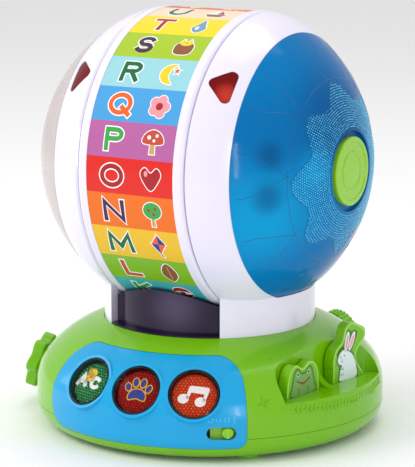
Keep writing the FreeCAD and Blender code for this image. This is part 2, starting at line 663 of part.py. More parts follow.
# Base and what is fixed to it.
save("base_top_shell", makeTopShell())
save("base_bottom_shell", makeBottomShell())
save("base_feet", makeFeet())
save("battery_door", makeBatteryDoor())
save("battery_door_screw", screw(0, -7, 4.0, 2.4, 1.0, 1.25, 7.2))
save("batteries", makeBatteries())
save("battery_contacts", makeContacts())
caseScrews = [screw(*polar(r, az)[:2], 9.0, 3.0, 2.0, 1.5, 17) for r, az in screwSpots]
save("case_screws", Part.makeCompound(caseScrews))
save("circuit_board", makeCircuitBoard())
save("speaker", makeSpeaker())
save("control_panel", makeControlPanel())
save("button_switches", Part.makeCompound([placed(makeSwitch(), f) for f in buttonFrame.values()]))
save("button_leds", Part.makeCompound([placed(lamp, f) for f in buttonFrame.values() for lamp in makeLeds()]))
save("volume_pot", placed(makeVolumePot(), volumeFrame))
save("seesaw_pin", placed(makeRockerPin(), pondFrame))

# Neck, arms and domes.
save("neck_collars", makeCollars())
save("pedestal_front", makePedestal())
save("pedestal_back", makePedestal().mirror(Vector(0, 0, 0), Vector(0, 1, 0)))
save("right_arm", makeArm(0, blueDomeR))
save("left_arm", mirrored(makeArm(clearDomeShift, clearDomeR)))
save("right_arrow_window", makeWindow())
save("left_arrow_window", mirrored(makeWindow()))
save("blue_dome", makeDome(0, blueDomeR, 24.0, 94.2))
save("clear_dome", mirrored(makeDome(clearDomeShift, clearDomeR, 0, 0)))
save("hub_cap", makeHubCap())
save("right_reflector", makeReflector(4.0))
save("left_reflector", mirrored(makeReflector(4.0)))
save("right_axle_bush", rod(6, armX - 0.2, 45).cut(rod(axleR + runFit, 30, 50)))
save("left_axle_bush", mirrored(rod(6, armX - 0.2, 45).cut(rod(axleR + runFit, 30, 50))))
save("letter_sensor", makeLetterSensor())

# The letter wheel.
save("letter_band", rod(bandR, -bandHalf + 0.1, bandHalf - 0.1).cut(rod(bandR - 0.75, -40, 40)))
save("wheel_drum_right", makeDrumHalf().cut(rod(80.1, drumHalf - 1.0, 40).cut(rod(69.9, 30, 45))))
save("wheel_drum_left", mirrored(makeDrumHalf()))
save("wheel_axle", rod(axleR, -52, 52))
save("code_ring", makeCodeRing())
save("axle_end_caps", Part.makeCompound([rod(6.5, 48.6, 56).cut(rod(axleR, 40, 52)),
                                         rod(6.5, -56, -48.6).cut(rod(axleR, -52, -40))]))

# Three push buttons, each with its lens, picture, plunger and spring.
for name, frame in buttonFrame.items():
    save("button_" + name + "_lens", placed(makeLens(), frame))
    save("button_" + name + "_picture", placed(post(12.9, -5.3, -4.5), frame))
    save("button_" + name + "_plunger", placed(makePlunger(), frame))
    save("button_" + name + "_spring", placed(makeCoil(5.2, 0.4, -17.4, -8.7, 5), frame))

# Volume switch, side knobs and see-saw.
save("volume_knob", placed(makeVolumeKnob(), volumeFrame))
save("gear_knob", placed(makeGearKnob(), gearFrame))
save("gear_shaft", placed(makeKnobShaft(9), gearFrame))
save("rear_dial", placed(makeDialKnob(), dialFrame))
save("rear_dial_shaft", placed(makeKnobShaft(8), dialFrame))
save("seesaw_rocker", placed(makeRocker(), pondFrame))
drop = rockArm * math.sin(math.radians(rockTilt))
printBack = plaqueFront - 0.8
printFront = plaqueFront - 0.2
frogSlab = makePlaque(-1, frogTop, 8.0, rockZ - drop).cut(printShape(frogSpots, -1, 0, printBack, 95))
rabbitSlab = makePlaque(1, rabbitTop, 20.0, rockZ + drop).cut(printShape(rabbitSpots, 1, 0, printBack, 95))
save("frog_plaque", placed(frogSlab, pondFrame))
save("frog_print", placed(printShape(frogSpots, -1, 0.15, printBack, printFront), pondFrame))
save("rabbit_plaque", placed(rabbitSlab, pondFrame))
save("rabbit_print", placed(printShape(rabbitSpots, 1, 0.15, printBack, printFront), pondFrame))
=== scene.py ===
import bpy
import bmesh
import math
import random
from mathutils import Matrix, Vector


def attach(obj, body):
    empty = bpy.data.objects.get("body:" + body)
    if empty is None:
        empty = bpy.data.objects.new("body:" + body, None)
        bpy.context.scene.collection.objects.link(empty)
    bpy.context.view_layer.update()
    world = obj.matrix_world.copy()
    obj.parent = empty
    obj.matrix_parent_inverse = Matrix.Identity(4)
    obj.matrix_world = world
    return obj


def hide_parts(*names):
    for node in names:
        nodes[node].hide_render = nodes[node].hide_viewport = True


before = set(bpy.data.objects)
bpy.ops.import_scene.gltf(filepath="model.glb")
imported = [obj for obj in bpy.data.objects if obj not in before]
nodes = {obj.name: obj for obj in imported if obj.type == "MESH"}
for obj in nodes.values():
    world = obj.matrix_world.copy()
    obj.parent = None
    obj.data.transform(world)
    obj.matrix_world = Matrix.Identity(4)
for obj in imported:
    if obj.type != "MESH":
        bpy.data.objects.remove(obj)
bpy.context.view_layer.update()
print("frame in,", len(nodes), "nodes")

# Everything below is drawn in millimetres about the middle of the round base and moved at the end.
toy = {
    "shiftX": 7.0, "shiftY": -2.8, "axisZ": 162.5, "bandR": 91.0, "bandHalf": 29.5, "baseR": 107.0,
    "seamZ": 15.0, "shoulderR": 28.0, "crownR": 67.5, "shoulderZ": 25.0, "shoulderDeg": 40.0}


def rgb(r, g, b):
    def lin(c):
        c = c / 255
        return c / 12.92 if c <= 0.04045 else ((c + 0.055) / 1.055) ** 2.4
    return (lin(r), lin(g), lin(b), 1.0)


def toRow(p):
    return Vector(((p[0] + toy["shiftX"]) / 1000, (p[1] + toy["shiftY"]) / 1000, p[2] / 1000))


def polar(radius, azimuth, z=0.0):
    a = math.radians(azimuth)
    return Vector((radius * math.sin(a), -radius * math.cos(a), z))


def outward(azimuth, elevation=0.0):
    e = math.radians(elevation)
    return polar(math.cos(e), azimuth, math.sin(e))


def frameAt(origin, normal):
    side = Vector((0, 0, 1)).cross(normal).normalized()
    up = normal.cross(side)
    return Matrix(((side.x, up.x, normal.x, origin.x), (side.y, up.y, normal.y, origin.y),
                   (side.z, up.z, normal.z, origin.z), (0, 0, 0, 1)))


# Where a flat drawing (across, up, height above the skin) goes on each curved surface.
def onBand(x0, deg):
    def place(p):
        a = math.radians(deg) + p[1] / toy["bandR"]
        r = toy["bandR"] + p[2]
        return Vector((x0 + p[0], -r * math.cos(a), toy["axisZ"] + r * math.sin(a)))
    return place


# The base outline by length along it from the foot of its straight side.
def skinAt(t):
    side = toy["shoulderZ"] - toy["seamZ"]
    arc = toy["shoulderR"] * math.radians(toy["shoulderDeg"])
    if t <= side:
        return toy["baseR"], toy["seamZ"] + t, 0.0
    if t <= side + arc:
        a = (t - side) / toy["shoulderR"]
        inside = toy["baseR"] - toy["shoulderR"]
        return inside + toy["shoulderR"] * math.cos(a), toy["shoulderZ"] + toy["shoulderR"] * math.sin(a), a
    bend = math.radians(toy["shoulderDeg"])
    a = bend + (t - side - arc) / toy["crownR"]
    back = toy["shoulderR"] - toy["crownR"]
    inside = toy["baseR"] - toy["shoulderR"] + back * math.cos(bend)
    below = toy["shoulderZ"] + back * math.sin(bend)
    return inside + toy["crownR"] * math.cos(a), below + toy["crownR"] * math.sin(a), a


def skinLength(z):
    low, high = 0.0, 80.0
    while high - low > 0.01:
        mid = (low + high) / 2
        low, high = (mid, high) if skinAt(mid)[1] < z else (low, mid)
    return low


def onBase(azimuth, z, turn=0.0):
    t0 = skinLength(z) if z > toy["seamZ"] else z - toy["seamZ"]
    c, s = math.cos(math.radians(turn)), math.sin(math.radians(turn))

    def place(p):
        u, v = p[0] * c - p[1] * s, p[0] * s + p[1] * c
        r, height, a = skinAt(t0 + v)
        az = azimuth + math.degrees(u / r)
        n = outward(az, math.degrees(a))
        return polar(r, az, height) + n * p[2]
    return place


def onFrame(matrix):
    def place(p):
        return matrix @ Vector((p[0], p[1], p[2]))
    return place


# Parts of a piece are gathered here and become one mesh on one body.
def startPiece(name):
    return {"name": name, "verts": [], "faces": [], "mats": [], "names": []}


def materialIndex(piece, material):
    if material not in piece["names"]:
        piece["names"].append(material)
    return piece["names"].index(material)


def addSolid(piece, bm, place, material):
    start = len(piece["verts"])
    bm.verts.index_update()
    piece["verts"] += [place(v.co) for v in bm.verts]
    piece["faces"] += [[start + v.index for v in f.verts] for f in bm.faces]
    piece["mats"] += [materialIndex(piece, material)] * len(bm.faces)
    bm.free()


def closePiece(piece, body, replaced=(), sharpDeg=35):
    mesh = bpy.data.meshes.new(piece["name"])
    mesh.from_pydata([toRow(v) for v in piece["verts"]], [], piece["faces"])
    for name in piece["names"]:
        mesh.materials.append(bpy.data.materials[name])
    mesh.polygons.foreach_set("material_index", piece["mats"])
    mesh.shade_smooth()
    mesh.set_sharp_from_angle(angle=math.radians(sharpDeg))
    obj = bpy.data.objects.new(piece["name"], mesh)
    bpy.context.scene.collection.objects.link(obj)
    rideOn(obj, body, replaced)


def rideOn(obj, body, replaced=()):
    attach(obj, body)
    if replaced:
        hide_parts(*replaced)


# The clean mesh of a drawn curve.
def meshOf(data):
    obj = bpy.data.objects.new("drawing", data)
    bpy.context.scene.collection.objects.link(obj)
    mesh = bpy.data.meshes.new_from_object(obj.evaluated_get(bpy.context.evaluated_depsgraph_get()))
    bm = bmesh.new()
    bm.from_mesh(mesh)
    bmesh.ops.remove_doubles(bm, verts=bm.verts, dist=1e-4)
    bmesh.ops.dissolve_degenerate(bm, edges=bm.edges, dist=1e-4)
    bpy.data.objects.remove(obj)
    bpy.data.meshes.remove(mesh)
    return bm


# Cuts across the height, so that a flat shape can bend round the wheel.
def cutUp(bm, step):
    low = min(v.co.y for v in bm.verts)
    high = max(v.co.y for v in bm.verts)
    for i in range(int((high - low) / step)):
        bmesh.ops.bisect_plane(bm, geom=bm.verts[:] + bm.edges[:] + bm.faces[:],
                               plane_co=(0, low + (i + 1) * step, 0), plane_no=(0, 1, 0))
    return bm


# A flat drawing made solid, from the height low to the height high.
def flatShape(outlines, low, high, grow=0.0):
    data = bpy.data.curves.new("drawing", "CURVE")
    data.dimensions = "2D"
    data.fill_mode = "BOTH"
    data.extrude = (high - low) / 2
    data.offset = grow
    for points in outlines:
        spline = data.splines.new("POLY")
        spline.points.add(len(points) - 1)
        for target, point in zip(spline.points, points):
            target.co = (point[0], point[1], 0, 1)
        spline.use_cyclic_u = True
    bm = meshOf(data)
    bmesh.ops.translate(bm, verts=bm.verts, vec=(0, 0, (low + high) / 2))
    return bm


def oval(cx, cy, rx, ry, count=28, turn=0.0):
    c, s = math.cos(math.radians(turn)), math.sin(math.radians(turn))
    points = []
    for i in range(count):
        a = 2 * math.pi * i / count
        x, y = rx * math.cos(a), ry * math.sin(a)
        points.append((cx + x * c - y * s, cy + x * s + y * c))
    return points


def starPoints(cx, cy, outer, inner, count, turn=90.0):
    points = []
    for i in range(2 * count):
        a = math.radians(turn + 180 * i / count)
        r = outer if i % 2 == 0 else inner
        points.append((cx + r * math.cos(a), cy + r * math.sin(a)))
    return points


def smoothLoop(points, steps=6, closed=True):
    out = []
    n = len(points)
    for i in range(n if closed else n - 1):
        p = [points[(i + k) % n] if closed else points[min(max(i + k, 0), n - 1)] for k in (-1, 0, 1, 2)]
        for j in range(steps):
            t = j / steps
            out.append(tuple(0.5 * (2 * b + (c - a) * t + (2 * a - 5 * b + 4 * c - d) * t * t
                                    + (3 * b - a - 3 * c + d) * t ** 3) for a, b, c, d in zip(*p)))
    if not closed:
        out.append(points[-1])
    return out


# A line of even width as outlines: one for an open line, outside and inside for a closed one.
def strokeOutlines(points, width, extend=0.0):
    closed = points[0] == points[-1]
    line = [Vector(p) for p in (points[:-1] if closed else points)]
    count = len(line)
    if not closed:
        line[0] = line[0] + (line[0] - line[1]).normalized() * extend
        line[-1] = line[-1] + (line[-1] - line[-2]).normalized() * extend
    left, right = [], []
    for i, p in enumerate(line):
        into = (p - line[i - 1]).normalized() if (i or closed) else (line[1] - p).normalized()
        out = (line[(i + 1) % count] - p).normalized() if (i < count - 1 or closed) else into
        normal = Vector((-into.y - out.y, into.x + out.x)).normalized()
        reach = width / 2 / max(0.55, normal.dot(Vector((-into.y, into.x))))
        left.append(tuple(p + normal * reach))
        right.append(tuple(p - normal * reach))
    return [left, right] if closed else [left + right[::-1]]


# A round bead along a line that is already placed on its surface.
def addBead(piece, points, radius, material, closed=False, sides=8):
    bm = bmesh.new()
    rings = []
    count = len(points)
    for i, p in enumerate(points):
        before = points[i - 1] if (i > 0 or closed) else points[i]
        after = points[(i + 1) % count] if (i < count - 1 or closed) else points[i]
        along = (after - before).normalized()
        side = along.cross(Vector((0.31, 0.23, 0.92))).normalized()
        up = along.cross(side)
        rings.append([bm.verts.new(p + side * radius * math.cos(2 * math.pi * k / sides)
                                   + up * radius * math.sin(2 * math.pi * k / sides)) for k in range(sides)])
    for i in range(count if closed else count - 1):
        a, b = rings[i], rings[(i + 1) % count]
        for k in range(sides):
            bm.faces.new((a[k], a[(k + 1) % sides], b[(k + 1) % sides], b[k]))
    if not closed:
        bm.faces.new(list(reversed(rings[0])))
        bm.faces.new(rings[-1])
    bmesh.ops.recalc_face_normals(bm, faces=bm.faces)
    addSolid(piece, bm, lambda p: p.copy(), material)


# A closed outline of (radius, height, material) turned about its own axis.
def addTurned(piece, outline, matrix, count=128):
    bm = bmesh.new()
    rings = []
    for r, h, _ in outline:
        if r < 1e-6:
            rings.append([bm.verts.new(matrix @ Vector((0, 0, h)))])
        else:
            rings.append([bm.verts.new(matrix @ Vector((r * math.cos(2 * math.pi * k / count),
                                                        r * math.sin(2 * math.pi * k / count), h)))
                          for k in range(count)])
    start = len(piece["verts"])
    marks = []
    n = len(outline)
    for i in range(n):
        a, b = rings[i], rings[(i + 1) % n]
        for k in range(count):
            m = (k + 1) % count
            corners = []
            for v in (a[k % len(a)], a[m % len(a)], b[m % len(b)], b[k % len(b)]):
                if v not in corners:
                    corners.append(v)
            if len(corners) > 2:
                bm.faces.new(corners)
                marks.append(outline[i][2])
    bm.faces.ensure_lookup_table()
    bmesh.ops.recalc_face_normals(bm, faces=bm.faces)
    bm.verts.index_update()
    piece["verts"] += [v.co.copy() for v in bm.verts]
    piece["faces"] += [[start + v.index for v in f.verts] for f in bm.faces]
    piece["mats"] += [materialIndex(piece, m) for m in marks]
    bm.free()


# The shader group mouldedSkin gives each finish its faint flow marks and fine grain.
def newGroup(name, inputs, outputs):
    group = bpy.data.node_groups.new(name, "ShaderNodeTree")
    for label, kind, value in inputs:
        socket = group.interface.new_socket(name=label, in_out="INPUT", socket_type=kind)
        socket.default_value = value
    for label, kind in outputs:
        group.interface.new_socket(name=label, in_out="OUTPUT", socket_type=kind)
    start = group.nodes.new("NodeGroupInput")
    end = group.nodes.new("NodeGroupOutput")
    return group, start, end


def noiseNode(tree, scale, detail, rough=0.5):
    node = tree.nodes.new("ShaderNodeTexNoise")
    node.inputs["Scale"].default_value = scale
    node.inputs["Detail"].default_value = detail
    node.inputs["Roughness"].default_value = rough
    return node


def mathNode(tree, operation, first, second):
    node = tree.nodes.new("ShaderNodeMath")
    node.operation = operation
    for i, value in enumerate((first, second)):
        if isinstance(value, (int, float)):
            node.inputs[i].default_value = value
        else:
            tree.links.new(value, node.inputs[i])
    return node.outputs[0]


def mixColour(tree, factor, first, second):
    node = tree.nodes.new("ShaderNodeMix")
    node.data_type = "RGBA"
    for label, value in ((0, factor), (6, first), (7, second)):
        if isinstance(value, (int, float, tuple)):
            node.inputs[label].default_value = value
        else:
            tree.links.new(value, node.inputs[label])
    return node.outputs[2]


def makeSkinGroup():
    group, start, end = newGroup("mouldedSkin", [
        ("Colour", "NodeSocketColor", (0.8, 0.8, 0.8, 1)), ("Shade", "NodeSocketColor", (0.7, 0.7, 0.7, 1)),
        ("Roughness", "NodeSocketFloat", 0.25), ("Flow", "NodeSocketFloat", 0.5),
        ("Grain", "NodeSocketFloat", 700.0)],
        [("Colour", "NodeSocketColor"), ("Roughness", "NodeSocketFloat"), ("Height", "NodeSocketFloat")])
    coords = group.nodes.new("ShaderNodeTexCoord")
    flow = noiseNode(group, 14.0, 3.0, 0.55)
    grain = noiseNode(group, 700.0, 2.0)
    for node in (flow, grain):
        group.links.new(coords.outputs["Object"], node.inputs["Vector"])
    group.links.new(start.outputs["Grain"], grain.inputs["Scale"])
    amount = mathNode(group, "MULTIPLY", flow.outputs["Fac"], start.outputs["Flow"])
    tinted = mixColour(group, amount, start.outputs["Colour"], start.outputs["Shade"])
    group.links.new(tinted, end.inputs["Colour"])
    swing = mathNode(group, "MULTIPLY", mathNode(group, "SUBTRACT", flow.outputs["Fac"], 0.5), 0.16)
    fine = mathNode(group, "MULTIPLY", mathNode(group, "SUBTRACT", grain.outputs["Fac"], 0.5), 0.06)
    total = mathNode(group, "ADD", mathNode(group, "ADD", swing, fine), start.outputs["Roughness"])
    group.links.new(total, end.inputs["Roughness"])
    group.links.new(grain.outputs["Fac"], end.inputs["Height"])
    return group


skinGroup = makeSkinGroup()


def startMaterial(name):
    material = bpy.data.materials.new(name)
    material.use_nodes = True
    tree = material.node_tree
    return material, tree, tree.nodes["Principled BSDF"]


def moulded(name, colour, rough=0.25, flow=0.5, grain=700.0, bump=0.02, coat=0.0, shade=0.86, metal=0.0,
            shine=0.5):
    material, tree, skin = startMaterial(name)
    group = tree.nodes.new("ShaderNodeGroup")
    group.node_tree = skinGroup
    group.inputs["Colour"].default_value = colour
    group.inputs["Shade"].default_value = tuple(c * shade for c in colour[:3]) + (1.0,)
    group.inputs["Roughness"].default_value = rough
    group.inputs["Flow"].default_value = flow
    group.inputs["Grain"].default_value = grain
    tree.links.new(group.outputs["Colour"], skin.inputs["Base Color"])
    tree.links.new(group.outputs["Roughness"], skin.inputs["Roughness"])
    relief = tree.nodes.new("ShaderNodeBump")
    relief.inputs["Strength"].default_value = bump
    relief.inputs["Distance"].default_value = 0.001
    tree.links.new(group.outputs["Height"], relief.inputs["Height"])
    tree.links.new(relief.outputs["Normal"], skin.inputs["Normal"])
    skin.inputs["Metallic"].default_value = metal
    skin.inputs["Specular IOR Level"].default_value = shine
    skin.inputs["Coat Weight"].default_value = coat
    skin.inputs["Coat Roughness"].default_value = 0.06
    return material


# See-through plastic: the skin of a moulded part, more solid towards its edges, and where a second colour is
# given, painted shade in that colour towards the edges as seen from the camera.
def clearPlastic(name, colour, alpha, edge, rough=0.06, edgeShadeColour=None, coat=0.5, edgeBlend=0.35, shine=0.5):
    material = moulded(name, colour, rough, flow=0.4, grain=260.0, bump=0.01, coat=coat, shine=shine)
    tree = material.node_tree
    skin = tree.nodes["Principled BSDF"]
    weight = tree.nodes.new("ShaderNodeLayerWeight")
    weight.inputs["Blend"].default_value = edgeBlend
    if edgeShadeColour:
        old = skin.inputs["Base Color"].links[0].from_socket
        tree.links.new(mixColour(tree, weight.outputs["Facing"], old, edgeShadeColour), skin.inputs["Base Color"])
    span = mathNode(tree, "MULTIPLY", weight.outputs["Facing"], edge - alpha)
    tree.links.new(mathNode(tree, "ADD", span, alpha), skin.inputs["Alpha"])
    return material


# A soft spot of painted light or shade in a part's plastic, about a point in space.
def paintedLightSpot(material, spot, reach, colour, strength):
    tree = material.node_tree
    skin = tree.nodes["Principled BSDF"]
    coords = tree.nodes.new("ShaderNodeTexCoord")
    away = tree.nodes.new("ShaderNodeVectorMath")
    away.operation = "DISTANCE"
    tree.links.new(coords.outputs["Object"], away.inputs[0])
    away.inputs[1].default_value = toRow(spot)
    fade = tree.nodes.new("ShaderNodeMapRange")
    fade.interpolation_type = "SMOOTHERSTEP"
    values = {"From Min": 0.0, "From Max": reach / 1000, "To Min": strength, "To Max": 0.0}
    for label, value in values.items():
        fade.inputs[label].default_value = value
    tree.links.new(away.outputs["Value"], fade.inputs["Value"])
    old = skin.inputs["Base Color"].links[0].from_socket
    tree.links.new(mixColour(tree, fade.outputs["Result"], old, colour), skin.inputs["Base Color"])


plastics = {
    "green": rgb(120, 190, 6), "white": rgb(236, 231, 250), "blue": rgb(10, 164, 222),
    "plum": rgb(34, 20, 50), "yellow": rgb(250, 210, 40)}
moulded("greenPlastic", plastics["green"], rough=0.18, flow=0.55, coat=0.2, shine=0.3)
moulded("greenFigure", plastics["green"], rough=0.26, flow=0.55, coat=0.1, shine=0.3)
# Painted highlight: the lips of the figures in a lighter green than the base.
moulded("greenLip", rgb(158, 220, 56), rough=0.2, flow=0.4, coat=0.4)
moulded("limePlastic", rgb(146, 208, 34), rough=0.26, flow=0.5, coat=0.2)
moulded("whitePlastic", plastics["white"], rough=0.22, flow=0.45, shade=0.94, coat=0.3)
moulded("bluePlastic", plastics["blue"], rough=0.2, flow=0.5, shade=0.9, coat=0.12, shine=0.3)
moulded("blueRelief", rgb(84, 200, 244), rough=0.3, flow=0.3)
plumSkin = moulded("plumPlastic", plastics["plum"], rough=0.16, flow=0.6, coat=0.1, shine=0.2)
# Painted reflection: a lighter band on the top front of the pedestal.
paintedLightSpot(plumSkin, (10, -52, 81), reach=24, colour=rgb(92, 82, 112), strength=0.7)
moulded("innerWhite", rgb(222, 222, 222), rough=0.4, flow=0.4)
moulded("yellowPlastic", plastics["yellow"], rough=0.3, flow=0.4)
moulded("blackPlastic", rgb(24, 24, 28), rough=0.45, flow=0.5)
moulded("boardGreen", rgb(26, 92, 48), rough=0.4, flow=0.7)
moulded("platedSteel", rgb(200, 200, 206), rough=0.28, flow=0.5, metal=1.0)
moulded("batterySleeve", rgb(70, 72, 84), rough=0.3, flow=0.6)
moulded("lampBody", rgb(240, 238, 214), rough=0.15, flow=0.3)
moulded("reflectorBlue", rgb(14, 120, 190), rough=0.35, flow=0.6)
moulded("reflectorPink", rgb(226, 206, 210), rough=0.3, flow=0.6)
domeBlue = clearPlastic("blueDome", rgb(0, 132, 200), alpha=0.94, edge=0.99, rough=0.15,
                        edgeShadeColour=rgb(0, 82, 150), coat=0.1, edgeBlend=0.3, shine=0.06)
# Painted light and shade on the blue dome: darker towards the top, brighter low on the front and near the
# middle, and two small darker spots on the front.
domePaintedLight = [
    ((72, -68, 188), 62, rgb(0, 98, 166), 0.55), ((74, -66, 142), 52, rgb(2, 176, 232), 0.6),
    ((88, -10, 190), 58, rgb(0, 66, 132), 0.75), ((77, -62, 178), 15, rgb(0, 64, 122), 0.6),
    ((77, -64, 154), 16, rgb(0, 64, 122), 0.6), ((92, -36, 168), 20, rgb(10, 172, 230), 0.5)]
for spot, reach, colour, strength in domePaintedLight:
    paintedLightSpot(domeBlue, spot, reach, colour, strength)
moulded("domeLine", rgb(0, 96, 158), rough=0.15, flow=0.3, coat=0.3, shine=0.3)
moulded("domeDot", rgb(96, 214, 246), rough=0.12, flow=0.3, coat=0.8)
clearPlastic("clearDome", rgb(240, 234, 236), alpha=0.34, edge=0.9, rough=0.08, edgeShadeColour=rgb(194, 176, 172),
             coat=0.4, edgeBlend=0.4)
redPane = clearPlastic("redWindow", rgb(122, 8, 10), alpha=0.92, edge=0.98, rough=0.12,
                       edgeShadeColour=rgb(96, 2, 6), coat=0.1, edgeBlend=0.35, shine=0.1)
# Painted light: a brighter red spot inside the window's dark red, as of light shining through it.
paintedLightSpot(redPane, (51, -67, 211), reach=11, colour=rgb(220, 66, 48), strength=0.75)
# Each lens has a body colour and a near-black rim colour; the rim colour is painted shade for the dark ring
# at the lens edge, used on the skirt and towards the lens edge.
lensColours = {
    "green": (rgb(6, 84, 44), rgb(1, 18, 12)), "red": (rgb(120, 6, 8), rgb(24, 1, 3)),
    "orange": (rgb(190, 50, 16), rgb(52, 4, 3))}
for name, (body, rim) in lensColours.items():
    clearPlastic(name + "Lens", body, alpha=0.03, edge=0.36, rough=0.05, edgeShadeColour=rim, coat=0.35,
                 edgeBlend=0.3, shine=0.3)
    moulded(name + "Skirt", rim, rough=0.2, flow=0.4, coat=0.3, shine=0.3)
print("finishes made,", len(bpy.data.materials))

# Finishes of the CAD nodes that stay as they are.
finishes = {
    "greenPlastic": ["base_top_shell", "base_bottom_shell", "battery_door", "gear_knob", "rear_dial"],
    "limePlastic": ["hub_cap", "volume_knob"],
    "greenFigure": ["frog_plaque", "rabbit_plaque", "base_feet"],
    "whitePlastic": ["right_arm", "left_arm", "wheel_drum_right", "wheel_drum_left"],
    "bluePlastic": ["control_panel"],
    "plumPlastic": ["pedestal_front", "pedestal_back", "neck_collars"],
    "redWindow": ["right_arrow_window", "left_arrow_window"],
    "innerWhite": ["button_green_plunger", "button_red_plunger", "button_orange_plunger", "right_axle_bush",
                   "left_axle_bush", "gear_shaft", "rear_dial_shaft", "seesaw_rocker"],
    "platedSteel": ["case_screws", "battery_door_screw", "battery_contacts", "wheel_axle", "seesaw_pin",
                    "button_green_spring", "button_red_spring", "button_orange_spring"],
    "reflectorBlue": ["right_reflector"], "reflectorPink": ["left_reflector"],
    "blackPlastic": ["code_ring", "speaker", "volume_pot"],
    "boardGreen": ["circuit_board", "button_switches", "letter_sensor"],
    "lampBody": ["button_leds"], "batterySleeve": ["batteries"], "yellowPlastic": ["axle_end_caps"],
    # The picture discs under the lenses take the dark skirt colour, painted shade round the pictures.
    "greenSkirt": ["button_green_picture"], "redSkirt": ["button_red_picture"],
    "orangeSkirt": ["button_orange_picture"]}
for material, members in finishes.items():
    for node in members:
        data = nodes[node].data
        data.materials.clear()
        data.materials.append(bpy.data.materials[material])


# Geometry node trees are built from here: one object goes in, a plain mesh comes out.
def newTree(name, inputs):
    tree = bpy.data.node_groups.new(name, "GeometryNodeTree")
    tree.interface.new_socket(name="Geometry", in_out="INPUT", socket_type="NodeSocketGeometry")
    for label, kind, value in inputs:
        socket = tree.interface.new_socket(name=label, in_out="INPUT", socket_type=kind)
        if value is not None:
            socket.default_value = value
    tree.interface.new_socket(name="Geometry", in_out="OUTPUT", socket_type="NodeSocketGeometry")
    return tree, tree.nodes.new("NodeGroupInput"), tree.nodes.new("NodeGroupOutput")


def runTree(tree, source, values):
    modifier = source.modifiers.new("rule", "NODES")
    modifier.node_group = tree
    for item in tree.interface.items_tree:
        if item.in_out == "INPUT" and item.name in values:
            modifier[item.identifier] = values[item.name]
    mesh = bpy.data.meshes.new_from_object(source.evaluated_get(bpy.context.evaluated_depsgraph_get()))
    bpy.data.objects.remove(source)
    return mesh


# The ring of coloured cells: one bent tile, repeated round the wheel.
def makeCellTree():
    tree, start, end = newTree("letterCells", [
        ("Cells", "NodeSocketInt", 27), ("Radius", "NodeSocketFloat", 0.0908),
        ("Width", "NodeSocketFloat", 0.059), ("Thickness", "NodeSocketFloat", 0.0006),
        ("Start Angle", "NodeSocketFloat", 0.0), ("Finish", "NodeSocketMaterial", None)])
    link = tree.links.new

    def maths(operation, first, second):
        return mathNode(tree, operation, first, second)

    step = maths("DIVIDE", 2 * math.pi, start.outputs["Cells"])
    size = tree.nodes.new("ShaderNodeCombineXYZ")
    link(start.outputs["Width"], size.inputs["X"])
    link(start.outputs["Thickness"], size.inputs["Y"])
    link(step, size.inputs["Z"])
    tile = tree.nodes.new("GeometryNodeMeshCube")
    tile.inputs["Vertices Z"].default_value = 13
    link(size.outputs["Vector"], tile.inputs["Size"])
    place = tree.nodes.new("GeometryNodeInputPosition")
    split = tree.nodes.new("ShaderNodeSeparateXYZ")
    link(place.outputs["Position"], split.inputs["Vector"])
    half = maths("MULTIPLY", start.outputs["Thickness"], 0.5)
    reach = maths("SUBTRACT", maths("SUBTRACT", start.outputs["Radius"], half), split.outputs["Y"])
    bent = tree.nodes.new("ShaderNodeCombineXYZ")
    link(split.outputs["X"], bent.inputs["X"])
    ahead = maths("MULTIPLY", maths("COSINE", split.outputs["Z"], 0.0), reach)
    link(maths("MULTIPLY", ahead, -1.0), bent.inputs["Y"])
    link(maths("MULTIPLY", maths("SINE", split.outputs["Z"], 0.0), reach), bent.inputs["Z"])
    move = tree.nodes.new("GeometryNodeSetPosition")
    link(tile.outputs["Mesh"], move.inputs["Geometry"])
    link(bent.outputs["Vector"], move.inputs["Position"])
    spots = tree.nodes.new("GeometryNodeMeshLine")
    spots.inputs["Offset"].default_value = (0, 0, 0)
    link(start.outputs["Cells"], spots.inputs["Count"])
    index = tree.nodes.new("GeometryNodeInputIndex")
    turn = tree.nodes.new("ShaderNodeCombineXYZ")
    angle = maths("ADD", maths("MULTIPLY", index.outputs["Index"], step), start.outputs["Start Angle"])
    link(maths("MULTIPLY", angle, -1.0), turn.inputs["X"])
    copies = tree.nodes.new("GeometryNodeInstanceOnPoints")
    link(spots.outputs["Mesh"], copies.inputs["Points"])
    link(move.outputs["Geometry"], copies.inputs["Instance"])
    link(turn.outputs["Vector"], copies.inputs["Rotation"])
    mark = tree.nodes.new("GeometryNodeStoreNamedAttribute")
    mark.data_type = "INT"
    mark.domain = "INSTANCE"
    mark.inputs["Name"].default_value = "cellNumber"
    link(copies.outputs["Instances"], mark.inputs["Geometry"])
    link(index.outputs["Index"], mark.inputs["Value"])
    solid = tree.nodes.new("GeometryNodeRealizeInstances")
    link(mark.outputs["Geometry"], solid.inputs["Geometry"])
    paint = tree.nodes.new("GeometryNodeSetMaterial")
    link(solid.outputs["Geometry"], paint.inputs["Geometry"])
    link(start.outputs["Finish"], paint.inputs["Material"])
    link(paint.outputs["Geometry"], end.inputs["Geometry"])
    return tree


